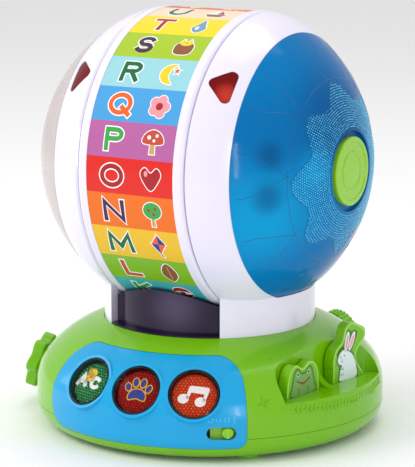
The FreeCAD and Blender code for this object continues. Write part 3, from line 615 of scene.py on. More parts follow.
# Small round dots on given spots, such as the glitter field of the dome.
def makeDotTree():
    tree, start, end = newTree("roundDots", [
        ("Dot Radius", "NodeSocketFloat", 0.0003), ("Finish", "NodeSocketMaterial", None)])
    ball = tree.nodes.new("GeometryNodeMeshIcoSphere")
    ball.inputs["Subdivisions"].default_value = 1
    tree.links.new(start.outputs["Dot Radius"], ball.inputs["Radius"])
    spin = tree.nodes.new("FunctionNodeRandomValue")
    spin.data_type = "FLOAT"
    spin.inputs[2].default_value = 0.7
    spin.inputs[3].default_value = 1.25
    spin.inputs["Seed"].default_value = 7
    copies = tree.nodes.new("GeometryNodeInstanceOnPoints")
    tree.links.new(start.outputs["Geometry"], copies.inputs["Points"])
    tree.links.new(ball.outputs["Mesh"], copies.inputs["Instance"])
    tree.links.new(spin.outputs[1], copies.inputs["Scale"])
    solid = tree.nodes.new("GeometryNodeRealizeInstances")
    tree.links.new(copies.outputs["Instances"], solid.inputs["Geometry"])
    paint = tree.nodes.new("GeometryNodeSetMaterial")
    tree.links.new(solid.outputs["Geometry"], paint.inputs["Geometry"])
    tree.links.new(start.outputs["Finish"], paint.inputs["Material"])
    tree.links.new(paint.outputs["Geometry"], end.inputs["Geometry"])
    return tree


cellTree = makeCellTree()
dotTree = makeDotTree()


def pointObject(points):
    mesh = bpy.data.meshes.new("spots")
    mesh.from_pydata([toRow(p) for p in points], [], [])
    obj = bpy.data.objects.new("spots", mesh)
    bpy.context.scene.collection.objects.link(obj)
    return obj


def dotPiece(name, points, radius, material, body):
    values = {"Dot Radius": radius / 1000, "Finish": bpy.data.materials[material]}
    mesh = runTree(dotTree, pointObject(points), values)
    mesh.name = name
    mesh.shade_smooth()
    obj = bpy.data.objects.new(name, mesh)
    bpy.context.scene.collection.objects.link(obj)
    rideOn(obj, body)


# Letter wheel: cells, letters with a white outline and one small picture in each cell.
wheel = {
    "cells": 27, "labelR": 90.72, "anchorLetter": 14, "anchorDeg": 0.72, "letterX": -11.9, "pictureX": 14.6,
    "letterHeight": 13.8, "letterStroke": 2.8, "letterHalo": 0.75, "pictureSize": 7.7, "pictureHalo": 0.55,
    "bendStep": 2.4, "cellThickness": 0.5, "starR": 5.4, "starGap": 15.0}
wheel["pitch"] = 360 / wheel["cells"]
cellColours = {
    "Teal": rgb(70, 178, 190), "Gold": rgb(236, 190, 38), "Orange": rgb(236, 112, 20),
    "Red": rgb(222, 36, 28), "Mauve": rgb(182, 98, 160), "Sky": rgb(70, 158, 218), "Mist": rgb(150, 208, 216),
    "Lime": rgb(164, 196, 40), "Yellow": rgb(250, 214, 20), "Peach": rgb(250, 214, 180),
    "Deep": rgb(16, 116, 180), "Leaf": rgb(130, 184, 40)}
inkColours = {
    "Crimson": rgb(172, 34, 40), "Plum": rgb(72, 38, 84), "Forest": rgb(24, 104, 62),
    "Tangerine": rgb(238, 98, 38), "Grass": rgb(62, 166, 74), "Brick": rgb(196, 78, 58),
    "White": rgb(250, 250, 250), "Brown": rgb(140, 88, 54), "Tan": rgb(206, 160, 108),
    "Sun": rgb(252, 206, 42), "Rose": rgb(246, 154, 164), "Steel": rgb(112, 156, 184),
    "Pale": rgb(226, 238, 244), "Navy": rgb(34, 62, 150), "Ink": rgb(30, 30, 36)}
for name, colour in cellColours.items():
    moulded("cell" + name, colour, rough=0.3, flow=0.35, grain=900.0, bump=0.015, coat=0.1, shade=0.93,
            shine=0.3)
for name, colour in inkColours.items():
    moulded("ink" + name, colour, rough=0.34, flow=0.35, grain=900.0, bump=0.015, coat=0.0, shade=0.92,
            shine=0.3)
cellOrder = [
    "Leaf", "Gold", "Mauve", "Sky", "Red", "Lime", "Orange", "Mist", "Yellow", "Deep", "Teal", "Leaf", "Gold",
    "Orange", "Red", "Mauve", "Sky", "Mist", "Lime", "Yellow", "Peach", "Red", "Sky", "Lime", "Mauve", "Gold",
    "Teal"]
letterInks = [
    "Crimson", "Forest", "Plum", "Grass", "Sun", "Plum", "Forest", "Crimson", "Navy", "Sun", "Grass", "Brick",
    "Forest", "Plum", "Crimson", "Grass", "Tangerine", "Forest", "Plum", "Crimson", "Forest", "Sun",
    "Crimson", "Plum", "Forest", "Brick"]


def cellDeg(number):
    return wheel["anchorDeg"] + (number - wheel["anchorLetter"]) * wheel["pitch"]


def buildCells():
    source = pointObject([(0, 0, 0)])
    values = {"Cells": wheel["cells"], "Radius": wheel["labelR"] / 1000, "Width": 2 * toy["bandHalf"] / 1000,
              "Thickness": wheel["cellThickness"] / 1000, "Start Angle": math.radians(cellDeg(0)),
              "Finish": bpy.data.materials["cellTeal"]}
    mesh = runTree(cellTree, source, values)
    numbers = mesh.attributes["cellNumber"]
    perPoint = numbers.domain == "POINT"
    mesh.materials.clear()
    names = sorted(set(cellOrder))
    for name in names:
        mesh.materials.append(bpy.data.materials["cell" + name])
    for polygon in mesh.polygons:
        number = numbers.data[polygon.vertices[0] if perPoint else polygon.index].value
        polygon.material_index = names.index(cellOrder[number])
    centre = toRow((0, 0, toy["axisZ"]))
    mesh.transform(Matrix.Translation(centre))
    mesh.shade_smooth()
    mesh.set_sharp_from_angle(angle=math.radians(40))
    mesh.name = "letter_cells"
    obj = bpy.data.objects.new("letter_cells", mesh)
    bpy.context.scene.collection.objects.link(obj)
    rideOn(obj, "wheel", ["letter_band"])


def bow(cx, cy, rx, ry, fromDeg, toDeg, count=14):
    step = (toDeg - fromDeg) / count
    return [(cx + rx * math.cos(math.radians(fromDeg + step * i)),
             cy + ry * math.sin(math.radians(fromDeg + step * i))) for i in range(count + 1)]


# The alphabet as plain strokes on a box one high: width of the letter, then its lines.
def strokeLetters():
    ring = bow(0.5, 0.5, 0.5, 0.5, 90, 450, 40)
    ring[-1] = ring[0]
    bowl = [(0, 1)] + bow(0.6, 0.76, 0.4, 0.24, 90, -90) + [(0, 0.52)]
    belly = [(0, 0.52)] + bow(0.62, 0.26, 0.38, 0.26, 90, -90) + [(0, 0)]
    openRing = bow(0.5, 0.5, 0.5, 0.5, 48, 312, 34)
    stem = [(0, 0), (0, 1)]
    snake = bow(0.5, 0.75, 0.44, 0.25, 30, 262, 20) + bow(0.5, 0.26, 0.47, 0.26, 82, -152, 20)
    return {
        "A": (1.1, [[(0, 0), (0.5, 1), (1, 0)], [(0.2, 0.34), (0.8, 0.34)]]),
        "B": (0.86, [stem, bowl, belly]),
        "C": (1.1, [openRing]),
        "D": (1.0, [stem, [(0, 1)] + bow(0.45, 0.5, 0.55, 0.5, 90, -90, 20) + [(0, 0)]]),
        "E": (0.78, [[(1, 1), (0, 1), (0, 0), (1, 0)], [(0, 0.5), (0.86, 0.5)]]),
        "F": (0.76, [[(1, 1), (0, 1), (0, 0)], [(0, 0.5), (0.84, 0.5)]]),
        "G": (1.12, [openRing + [(0.96, 0.46), (0.56, 0.46)]]),
        "H": (0.98, [stem, [(1, 0), (1, 1)], [(0, 0.5), (1, 0.5)]]),
        "I": (0.1, [stem]), "J": (0.66, [[(1, 1)] + bow(0.5, 0.34, 0.5, 0.34, 0, -165)]),
        "K": (0.92, [stem, [(0.94, 1), (0.04, 0.42)], [(0.3, 0.6), (1, 0)]]),
        "L": (0.8, [[(0, 1), (0, 0), (1, 0)]]),
        "M": (1.3, [[(0, 0), (0.06, 1), (0.5, 0.24), (0.94, 1), (1, 0)]]),
        "N": (1.1, [[(0, 0), (0, 1), (1, 0), (1, 1)]]),
        "O": (1.2, [ring]), "P": (0.88, [stem, bowl]), "Q": (1.2, [ring, [(0.62, 0.3), (0.98, -0.06)]]),
        "R": (0.92, [stem, bowl, [(0.5, 0.52), (0.96, 0)]]), "S": (0.86, [snake]),
        "T": (1.0, [[(0, 1), (1, 1)], [(0.5, 1), (0.5, 0)]]),
        "U": (0.96, [[(0, 1)] + bow(0.5, 0.42, 0.5, 0.42, 180, 360, 18) + [(1, 1)]]),
        "V": (1.06, [[(0, 1), (0.5, 0), (1, 1)]]),
        "W": (1.5, [[(0, 1), (0.26, 0), (0.5, 0.86), (0.74, 0), (1, 1)]]),
        "X": (0.98, [[(0, 1), (1, 0)], [(0, 0), (1, 1)]]),
        "Y": (1.0, [[(0, 1), (0.5, 0.46), (1, 1)], [(0.5, 0.46), (0.5, 0)]]),
        "Z": (0.94, [[(0, 1), (1, 1), (0, 0), (1, 0)]])}


letters = strokeLetters()


def addLetter(piece, letter, place, height, stroke, grow, low, high, material, shift=(0, 0)):
    share, lines = letters[letter]
    tall = height - stroke
    wide = tall * share
    for line in lines:
        points = [((x - 0.5) * wide + shift[0], (y - 0.5) * tall + shift[1]) for x, y in line]
        outlines = strokeOutlines(points, stroke + 2 * grow, stroke / 2 + grow)
        addSolid(piece, cutUp(flatShape(outlines, low, high), wheel["bendStep"]), place, material)


# Small pictures on a square from -1 to 1: each layer is a colour and its outlines.
def pictures():
    leaf = smoothLoop([(0, -1), (0.62, -0.3), (0.5, 0.5), (0, 1), (-0.5, 0.5), (-0.62, -0.3)])
    drop = smoothLoop([(0, 1), (0.35, 0.2), (0.6, -0.4), (0, -0.95), (-0.6, -0.4), (-0.35, 0.2)])
    heart = smoothLoop([(0, -0.9), (0.72, -0.1), (0.86, 0.45), (0.5, 0.8), (0, 0.42), (-0.5, 0.8),
                        (-0.86, 0.45), (-0.72, -0.1)])
    cloud = smoothLoop([(-0.9, -0.4), (-0.95, 0.0), (-0.5, 0.2), (-0.3, 0.62), (0.25, 0.62), (0.45, 0.25),
                        (0.92, 0.1), (0.9, -0.4), (0, -0.5)])
    moon = smoothLoop([(0.35, 0.9), (-0.5, 0.7), (-0.85, 0), (-0.5, -0.7), (0.35, -0.9), (0.0, -0.45),
                       (-0.1, 0), (0.0, 0.45)])
    petals = [oval(0.52 * math.cos(1.2566 * i), 0.52 * math.sin(1.2566 * i), 0.4, 0.4) for i in range(5)]
    return [
        [("Tan", [[(-0.16, -1), (0.16, -1), (0.12, 0), (-0.12, 0)]]), ("Grass", [oval(0, 0.28, 0.78, 0.66)]),
         ("Crimson", [oval(-0.3, 0.3, 0.12, 0.12), oval(0.28, 0.46, 0.12, 0.12),
                      oval(0.1, 0.02, 0.12, 0.12)])],
        [("Sun", [starPoints(0, 0, 1.0, 0.66, 12)]), ("Tangerine", [oval(0, 0, 0.5, 0.5)])],
        [("Rose", [petal]) for petal in petals] + [("Crimson", [oval(0, 0, 0.3, 0.3)])],
        [("Brown", [leaf]), ("Tan", [[(-0.05, -0.8), (0.05, -0.8), (0.03, 0.7), (-0.03, 0.7)]])],
        [("Steel", [drop]), ("Pale", [oval(-0.16, -0.3, 0.16, 0.26)])],
        [("Crimson", [heart]), ("Rose", [oval(-0.42, 0.36, 0.16, 0.22)])],
        [("Pale", [cloud]), ("Steel", [[(-0.5, -0.6), (-0.4, -0.6), (-0.5, -0.95), (-0.6, -0.95)],
                                       [(0.05, -0.6), (0.15, -0.6), (0.05, -0.95), (-0.05, -0.95)],
                                       [(0.6, -0.6), (0.7, -0.6), (0.6, -0.95), (0.5, -0.95)]])],
        [("Sun", [moon]), ("Tangerine", [starPoints(0.5, 0.3, 0.3, 0.12, 5)])],
        [("Tangerine", [[(0, 1), (0.62, 0.2), (0, -0.7), (-0.62, 0.2)]]),
         ("Navy", [[(0, 1), (0.62, 0.2), (0, 0.2)], [(0, -0.7), (-0.62, 0.2), (0, 0.2)]]),
         ("Crimson", [[(-0.05, -0.68), (0.05, -0.68), (0.22, -1), (0.12, -1)]])],
        [("Brown", [[(-0.9, -0.3), (0.9, -0.3), (0.55, -0.85), (-0.55, -0.85)]]),
         ("Pale", [[(-0.06, -0.2), (-0.06, 0.95), (-0.8, -0.2)]]),
         ("Crimson", [[(0.06, -0.2), (0.06, 0.8), (0.66, -0.2)]])],
        [("Tan", [[(-0.24, -0.9), (0.24, -0.9), (0.18, 0), (-0.18, 0)]]),
         ("Brick", [smoothLoop([(-0.9, -0.05), (-0.7, 0.6), (0, 0.92), (0.7, 0.6), (0.9, -0.05),
                                (0, -0.18)])]),
         ("White", [oval(-0.35, 0.35, 0.16, 0.16), oval(0.32, 0.5, 0.13, 0.13),
                    oval(0.1, 0.12, 0.12, 0.12)])],
        [("Crimson", [oval(0, 0, 0.82, 0.82)]), ("White", [oval(0, 0, 0.82, 0.26)]),
         ("Navy", [oval(0, 0, 0.22, 0.22)])],
        [("Brown", [smoothLoop([(-0.6, -0.75), (-0.8, 0.1), (-0.3, 0.5), (0.3, 0.5), (0.8, 0.1),
                                (0.6, -0.75)])]),
         ("Sun", [smoothLoop([(-0.5, 0.3), (-0.3, 0.86), (0, 0.4), (0.3, 0.86), (0.5, 0.3), (0, 0.1)])])]]


def buildLabels():
    piece = startPiece("letter_prints")
    drawings = pictures()
    base = wheel["labelR"] - toy["bandR"]
    step = wheel["bendStep"]
    for number in range(26):
        deg = cellDeg(number)
        place = onBand(wheel["letterX"], deg)
        letter = chr(65 + number)
        for grow, high, ink in ((wheel["letterHalo"], 0.07, "White"), (0.0, 0.13, letterInks[number])):
            addLetter(piece, letter, place, wheel["letterHeight"], wheel["letterStroke"], grow, base - 0.1,
                      base + high, "ink" + ink)
        place = onBand(wheel["pictureX"], deg)
        size = wheel["pictureSize"]
        for layer, (ink, outlines) in enumerate(drawings[(number * 5) % len(drawings)]):
            for outline in outlines:
                scaled = [[(x * size, y * size) for x, y in outline]]
                rim = cutUp(flatShape(scaled, base - 0.1, base + 0.06, wheel["pictureHalo"]), step)
                addSolid(piece, rim, place, "inkWhite")
                fill = cutUp(flatShape(scaled, base - 0.1, base + 0.11 + 0.02 * layer), step)
                addSolid(piece, fill, place, "ink" + ink)
    for i in range(3):
        place = onBand((i - 1) * wheel["starGap"], cellDeg(26))
        star = starPoints(0, 0, wheel["starR"], 2.4, 5)
        addSolid(piece, cutUp(flatShape([star], base - 0.1, base + 0.12), step), place, "inkWhite")
    closePiece(piece, "wheel")


buildCells()
buildLabels()
print("letter wheel labelled")

# Blue dome: shell, moulded circle with rays, and the field of dots round the hub.
dome = {
    "ballR": 99.6, "wall": 2.2, "rimX": 60.2, "hubR": 24.0, "dishX": 94.2, "circleR": 54.0, "rays": 9,
    "rayDeg": 3.5, "raySpread": 10.0, "fieldR": 46.0, "fieldWave": 4.5, "fieldSway": 1.6, "fieldLobes": 8,
    "dotGap": 1.55, "dotR": 0.4, "lineR": 0.26, "lineDip": -0.12, "rayEndR": 77.5, "spigotR": (74.6, 76.7),
    "spigotX": 55.5}
axisFrame = Matrix(((0, 0, 1, 0), (1, 0, 0, 0), (0, 1, 0, toy["axisZ"]), (0, 0, 0, 1)))
mirrorFrame = Matrix(((0, 0, -1, 0), (-1, 0, 0, 0), (0, 1, 0, toy["axisZ"]), (0, 0, 0, 1)))


def ballArc(shift, radius, fromR, toR, steps, material):
    points = []
    a0, a1 = math.asin(fromR / radius), math.asin(toR / radius)
    for i in range(steps + 1):
        a = a0 + (a1 - a0) * i / steps
        points.append((radius * math.sin(a), shift + radius * math.cos(a), material))
    return points


def rimRadius(shift, radius, x):
    return math.sqrt(radius ** 2 - (x - shift) ** 2)


# The collar at the foot of a dome, which goes into the arm.
def spigot(rimX, material):
    (inside, outside), end = dome["spigotR"], dome["spigotX"]
    return [(inside, rimX + 2.6, material), (inside, end, material), (outside, end, material),
            (outside, rimX, material)]


def buildBlueDome():
    r, wall, rimX = dome["ballR"], dome["wall"], dome["rimX"]
    inner = r - wall
    outline = ballArc(0, r, rimRadius(0, r, rimX), dome["hubR"], 40, "blueDome")
    outline.append((dome["hubR"], dome["dishX"], "blueDome"))
    outline.append((0, dome["dishX"], "blueDome"))
    outline.append((0, dome["dishX"] - wall, "blueDome"))
    outline += ballArc(0, inner, dome["hubR"] + 1.5, rimRadius(0, inner, rimX + 3), 30, "blueDome")
    outline += spigot(rimX, "blueDome")
    piece = startPiece("blue_dome_shell")
    addTurned(piece, outline, axisFrame, 160)
    closePiece(piece, "base", ["blue_dome"])


def onDome(radius, deg, lift, ballR=dome["ballR"]):
    a = math.radians(deg)
    reach = ballR + lift
    k = radius / ballR
    x = math.sqrt(1 - k * k)
    return Vector((reach * x, -reach * k * math.cos(a), toy["axisZ"] + reach * k * math.sin(a)))


def buildDomeLines():
    piece = startPiece("dome_lines")
    circle = [onDome(dome["circleR"], i * 3, dome["lineDip"]) for i in range(120)]
    addBead(piece, circle, dome["lineR"], "domeLine", True)
    for i in range(dome["rays"]):
        tip = dome["rayDeg"] + 360 / dome["rays"] * i
        for side in (-1, 1):
            line = []
            for j in range(13):
                t = j / 12
                reach = dome["circleR"] + (dome["rayEndR"] - dome["circleR"]) * t
                deg = tip + side * dome["raySpread"] * math.sin(t * math.pi / 2)
                line.append(onDome(reach, deg, dome["lineDip"]))
            addBead(piece, line, dome["lineR"], "domeLine")
    closePiece(piece, "base")


def fieldEdge(deg):
    a = math.radians(deg)
    wave = dome["fieldWave"] * math.cos(dome["fieldLobes"] * a + 0.4)
    return dome["fieldR"] + wave + dome["fieldSway"] * math.cos(3 * a + 1)


def buildDomeField():
    spots = []
    ring = dome["hubR"] + 2.4
    row = 0
    while ring < dome["fieldR"] + dome["fieldWave"] + 2:
        count = int(2 * math.pi * ring / dome["dotGap"])
        for i in range(count):
            deg = 360 * (i + 0.5 * (row % 2)) / count
            if ring < fieldEdge(deg):
                spots.append(onDome(ring, deg, 0.02))
        ring += dome["dotGap"] * 0.87
        row += 1
    dotPiece("dome_dots", spots, dome["dotR"], "domeDot", "base")
    edge = [onDome(fieldEdge(i * 1.5) + 0.6, i * 1.5, -0.1) for i in range(240)]
    piece = startPiece("dome_field_edge")
    addBead(piece, edge, 0.28, "domeLine", True, 6)
    closePiece(piece, "base")
    print("dome dots", len(spots))


clearDome = {"ballR": 93.0, "shift": 12.0, "wall": 2.2, "rimX": 60.2}


def buildClearDome():
    r, s, wall, rimX = clearDome["ballR"], clearDome["shift"], clearDome["wall"], clearDome["rimX"]
    inner = r - wall
    outline = ballArc(s, r, rimRadius(s, r, rimX), 0.001, 44, "clearDome")
    outline[-1] = (0, s + r, "clearDome")
    outline.append((0, s + inner, "clearDome"))
    outline += ballArc(s, inner, 1.5, rimRadius(s, inner, rimX + 3), 40, "clearDome")
    outline += spigot(rimX, "clearDome")
    piece = startPiece("clear_dome_shell")
    addTurned(piece, outline, mirrorFrame, 160)
    closePiece(piece, "base", ["clear_dome"])


buildBlueDome()
buildDomeLines()
buildDomeField()
buildClearDome()
print("domes built")

# Push buttons: a domed lens with a dark skirt over a printed picture; the dark of the skirt and of the lens
# edge is painted shade.
buttons = {
    "azimuth": {"green": -14.3, "red": 5.7, "orange": 25.7}, "elevation": 34.0, "lensR": 14.9,
    "flangeR": 15.9, "innerR": 13.2, "footW": -8.6, "clearR": 14.1, "crown": 3.2, "pictureR": 12.8,
    "pictureW": -4.45, "glintR": 0.52, "glintGap": (2.1, 1.7), "letterHeight": 8.2, "letterStroke": 2.4,
    "letters": (("A", -7.7, 0.8, "White"), ("B", -2.2, 4.6, "Sun"), ("C", 3.1, 0.6, "White"))}


def buttonFrame(name):
    drop = math.radians(buttons["elevation"] + 2)
    r = toy["baseR"] - toy["shoulderR"] + toy["shoulderR"] * math.cos(drop)
    z = toy["shoulderZ"] + toy["shoulderR"] * math.sin(drop)
    az = buttons["azimuth"][name]
    return frameAt(polar(r, az, z), outward(az, buttons["elevation"]))


# A shallow cap as an outline, from its rim to its middle or the other way.
def capArc(radius, foot, crown, steps, material, fromMiddle=False):
    big = (radius * radius + crown * crown) / (2 * crown)
    points = []
    for i in range(steps + 1):
        r = radius * (i / steps if fromMiddle else 1 - i / steps)
        points.append((r, foot + crown - big + math.sqrt(big * big - r * r), material))
    return points


def buildButton(name):
    lens, skirt = name + "Lens", name + "Skirt"
    inside, outside, flange, foot = (buttons[part] for part in ("innerR", "lensR", "flangeR", "footW"))
    outline = [(inside, foot, skirt), (flange, foot, skirt), (flange, foot + 1.2, skirt),
               (outside, foot + 1.2, skirt), (outside, -2.3, skirt), (outside - 0.15, -1.75, skirt)]
    cap = capArc(outside - 0.35, -1.6, buttons["crown"], 24, lens)
    outline += [(r, h, lens if r < buttons["clearR"] else skirt) for r, h, _ in cap]
    outline[-1] = (0, outline[-1][1], lens)
    inner = capArc(inside, -3.6, buttons["crown"], 14, lens, True)
    inner[0] = (0, inner[0][1], lens)
    outline += inner
    piece = startPiece("button_" + name + "_dome")
    addTurned(piece, outline, buttonFrame(name), 96)
    closePiece(piece, name + "_button", ["button_" + name + "_lens"])


def noteOutlines():
    left = oval(-6.4, -2.0, 3.3, 2.9, 28, 15)
    right = oval(3.6, -3.9, 3.3, 2.9, 28, 15)
    beam = [(-5.2, -1.9), (-3.5, -1.9), (-1.9, 1.9), (5.8, 0.9), (4.7, -3.6), (6.4, -3.8), (8.9, 3.7),
            (8.2, 4.9), (-2.0, 6.0), (-3.1, 5.2)]
    return [left, right, beam]


# A paw: one pad and four toes.
def pawOutlines():
    pad = smoothLoop([(-4.9, -5.2), (-5.3, -1.9), (-2.3, 1.0), (2.3, 1.0), (5.3, -1.9), (4.9, -5.2),
                      (0, -4.2)])
    toes = [oval(-6.6, 2.2, 1.7, 2.4, 20, 24), oval(-2.4, 5.3, 1.8, 2.6, 20, 8),
            oval(2.4, 5.3, 1.8, 2.6, 20, -8), oval(6.6, 2.2, 1.7, 2.4, 20, -24)]
    return [pad] + toes


# Rows of small glints over the round picture.
def glintRows(radius, gapX, gapY):
    spots = []
    rows = int(2 * radius / gapY)
    for j in range(rows + 1):
        y = -radius + j * gapY
        for i in range(int(2 * radius / gapX) + 1):
            x = -radius + i * gapX + (0.5 * gapX if j % 2 else 0)
            if math.hypot(x, y) < radius - 0.4:
                spots.append((x, y))
    return spots


def buildButtonPictures():
    low, top = buttons["pictureW"] - 0.05, buttons["pictureW"] + 0.62
    for name in buttons["azimuth"]:
        matrix = buttonFrame(name)
        piece = startPiece("button_" + name + "_print")
        disc = oval(0, 0, buttons["pictureR"], buttons["pictureR"], 64)
        addSolid(piece, flatShape([disc], low, low + 0.08), onFrame(matrix), name + "Field")
        if name == "green":
            for letter, x, y, ink in buttons["letters"]:
                addLetter(piece, letter, onFrame(matrix), buttons["letterHeight"], buttons["letterStroke"],
                          0.0,
                          low, top, "ink" + ink, (x, y))
        elif name == "red":
            for outline in pawOutlines():
                addSolid(piece, flatShape([outline], low, top - 0.06, 0.5), onFrame(matrix), "inkSun")
                addSolid(piece, flatShape([outline], low, top), onFrame(matrix), "inkNavy")
        else:
            for outline in noteOutlines():
                addSolid(piece, flatShape([outline], low, top), onFrame(matrix), "inkWhite")
        closePiece(piece, name + "_button")
        spots = glintRows(buttons["pictureR"] + 0.1, *buttons["glintGap"])
        points = [matrix @ Vector((x, y, buttons["pictureW"] - 0.04)) for x, y in spots]
        dotPiece("button_" + name + "_glint", points, buttons["glintR"], name + "Glint", name + "_button")


fieldColours = {
    "green": (rgb(2, 88, 40), rgb(96, 228, 140)), "red": (rgb(128, 4, 6), rgb(226, 48, 34)),
    "orange": (rgb(190, 48, 14), rgb(250, 132, 70))}
for name, (field, glint) in fieldColours.items():
    moulded(name + "Field", field, rough=0.35, flow=0.5, shine=0.1)
    moulded(name + "Glint", glint, rough=0.2, flow=0.3, shine=0.3)
for name in buttons["azimuth"]:
    buildButton(name)
buildButtonPictures()
print("buttons built")

# Small moulded ornaments on the base in the colour of the green shell, and the volume marks in a lighter
# blue.
ornaments = {
    "flowerAt": (55.7, 57.4), "starAt": (48.1, 35.8), "grassAt": (69.6, 24.2), "beadR": 0.5, "leafCount": 30,
    "leafFrom": 58.0, "leafTo": 106.0, "leafZ": 29.0, "leafDip": 2.6}


# The relief nearest to the widest spot of the base is held back to that width.
def heldBack(place):
    def limited(p):
        spot = place(p)
        spot.x = min(spot.x, toy["baseR"])
        return spot
    return limited


def addLoopOn(piece, outline, place, radius, material, closed=True):
    addBead(piece, [place((x, y, -radius * 0.35)) for x, y in outline], radius, material, closed)


def buildOrnaments():
    piece = startPiece("base_ornaments")
    r = ornaments["beadR"]
    addLoopOn(piece, starPoints(0, 0, 3.6, 1.6, 5), onBase(*ornaments["flowerAt"], 10), r, "greenPlastic")
    addLoopOn(piece, oval(0, 0, 1.5, 1.5, 16), onBase(*ornaments["flowerAt"]), r, "greenPlastic")
    addLoopOn(piece, starPoints(0, 0, 3.6, 1.1, 4), onBase(*ornaments["starAt"], 20), r, "greenPlastic")
    for x, y in ((0, 0), (1.8, 2.2), (3.9, 1.0), (5.2, 3.2)):
        stem = [(x, y - 1.8), (x + 0.3, y), (x + 1.0, y + 1.6)]
        addLoopOn(piece, stem, onBase(*ornaments["grassAt"]), r * 0.8, "greenPlastic", False)
    random.seed(4)
    for i in range(ornaments["leafCount"]):
        t = i / (ornaments["leafCount"] - 1)
        az = ornaments["leafFrom"] + (ornaments["leafTo"] - ornaments["leafFrom"]) * t
        height = ornaments["leafZ"] - ornaments["leafDip"] * math.sin(t * math.pi) + random.uniform(-0.3, 0.3)
        for lift, tilt in ((0.0, 62), (2.3, -48)):
            bm = bmesh.new()
            bmesh.ops.create_icosphere(bm, subdivisions=2, radius=1.0)
            bmesh.ops.scale(bm, vec=(1.0, 2.1, 0.75), verts=bm.verts)
            turn = tilt + random.uniform(-14, 14)
            addSolid(piece, bm, heldBack(onBase(az, height + lift, turn)), "greenPlastic")
    closePiece(piece, "base", (), 50)


def buildVolumeMarks():
    piece = startPiece("volume_marks")
    place = onBase(34.6, 27.0)
    addLoopOn(piece, oval(-6.4, 0, 1.5, 1.4, 20), place, 0.3, "blueRelief")
    for x, h in ((-3.4, 0.9), (-1.2, 1.1), (1.4, 1.6), (3.6, 1.7), (6.6, 2.5)):
        turns = [math.radians(-62 + 12.4 * k) for k in range(11)]
        arc = [(x + 0.7 * math.cos(a) * h / 2, h * math.sin(a)) for a in turns]
        addLoopOn(piece, arc, place, 0.3, "blueRelief", False)
    closePiece(piece, "base")


buildOrnaments()
buildVolumeMarks()

# Printed faces of the two pop-up figures, on the front of their plaques, over a darker rim of painted shade,
# as of a shadowed recess round each print.
figures = {"azimuth": 82.0, "front": 89.02, "side": 23.0, "rim": 1.3}
pondNormal = outward(figures["azimuth"])
pondSide = Vector((0, 0, 1)).cross(pondNormal)


def onPlaque(side):
    def place(p):
        across = side * figures["side"] + p[0]
        return pondNormal * (figures["front"] + p[2]) + pondSide * across + Vector((0, 0, p[1]))
    return place


def addPrint(piece, place, outline, ink, level):
    addSolid(piece, flatShape([outline], 0, 0.04 + 0.03 * level), place, ink)


# Painted shade: a darker green rim just wider than the print.
def addShadeRim(piece, place, outline):
    addSolid(piece, flatShape([outline], 0, 0.03, figures["rim"]), place, "inkMoss")


def buildRabbit():
    piece = startPiece("rabbit_picture")
    place = onPlaque(1)
    body = smoothLoop([(7.4, 33.8), (7.6, 40), (5.4, 45.4), (3.0, 48.6), (-0.6, 50.8), (-5.4, 52.4),
                       (-9.4, 50.6), (-11.4, 46.8), (-9.8, 44.2), (-7.0, 43.2), (-8.6, 40.6), (-9.0, 37.4),
                       (-8.6, 33.8)])
    addShadeRim(piece, place, body)
    addPrint(piece, place, body, "inkPale", 1)
    for x, y, tilt in ((-2.2, 57.0, -14), (2.8, 56.4, -28)):
        ear = oval(x, y, 2.1, 6.2, 28, tilt)
        addShadeRim(piece, place, ear)
        addPrint(piece, place, ear, "inkPale", 1)
        addPrint(piece, place, oval(x, y - 0.2, 1.1, 4.6, 24, tilt), "inkRose", 2)
    for x, y in ((-8.4, 48.4), (-4.6, 48.9)):
        addPrint(piece, place, oval(x, y, 0.5, 0.5, 12), "inkInk", 2)
    addPrint(piece, place, oval(-7.0, 46.9, 0.7, 0.4, 12), "inkRose", 2)
    for line in ([(-7.8, 45.9), (-7.0, 45.4), (-6.2, 45.8)], [(-8.2, 41.2), (-6.4, 40.6), (-5.4, 41.8)],
                 [(-8.4, 37.6), (-6.6, 37.2), (-5.8, 38.4)]):
        addBead(piece, [place((x, y, 0.06)) for x, y in smoothLoop(line, 4, False)], 0.18, "inkInk")
    closePiece(piece, "rabbit", ["rabbit_print"])


def buildFrog():
    piece = startPiece("frog_picture")
    place = onPlaque(-1)
    body = smoothLoop([(-10.6, 33.8), (-10.4, 39), (-9.2, 43.4), (-7.8, 47.6), (-5.2, 49.0), (-2.8, 46.4),
                       (0, 45.6), (2.8, 46.4), (5.2, 49.0), (7.8, 47.6), (9.2, 43.4), (10.4, 39),
                       (10.6, 33.8)])
    addShadeRim(piece, place, body)
    addPrint(piece, place, body, "inkFrog", 1)
    for x in (-5.2, 5.2):
        addPrint(piece, place, oval(x, 46.4, 1.6, 1.6, 20), "inkFrogLight", 2)
        addPrint(piece, place, oval(x, 46.4, 0.75, 0.75, 14), "inkInk", 3)
    smile = smoothLoop([(-4.2, 41.9), (0, 40.5), (4.4, 42.1), (2.8, 40.3), (0, 39.4), (-2.6, 40.2)])
    addPrint(piece, place, smile, "inkBrick", 2)
    line = smoothLoop([(-6.2, 43.0), (-4.4, 41.8), (0, 40.6), (4.4, 41.8), (6.2, 43.0)], 5, False)
    addBead(piece, [place((x, y, 0.08)) for x, y in line], 0.24, "inkInk")
    for x in (-4.4, 4.4):
        leg = smoothLoop([(x, 33.9), (x * 1.1, 36.0), (x * 0.9, 38.0)], 4, False)
        addBead(piece, [place((a, b, 0.06)) for a, b in leg], 0.2, "inkForest")
    closePiece(piece, "frog", ["frog_print"])


# Painted shade: the darker green rim round each print.
moulded("inkMoss", rgb(64, 122, 10), rough=0.4, flow=0.4)
moulded("inkFrog", rgb(116, 166, 84), rough=0.4, flow=0.4)
moulded("inkFrogLight", rgb(160, 200, 130), rough=0.4, flow=0.3)
buildRabbit()
buildFrog()

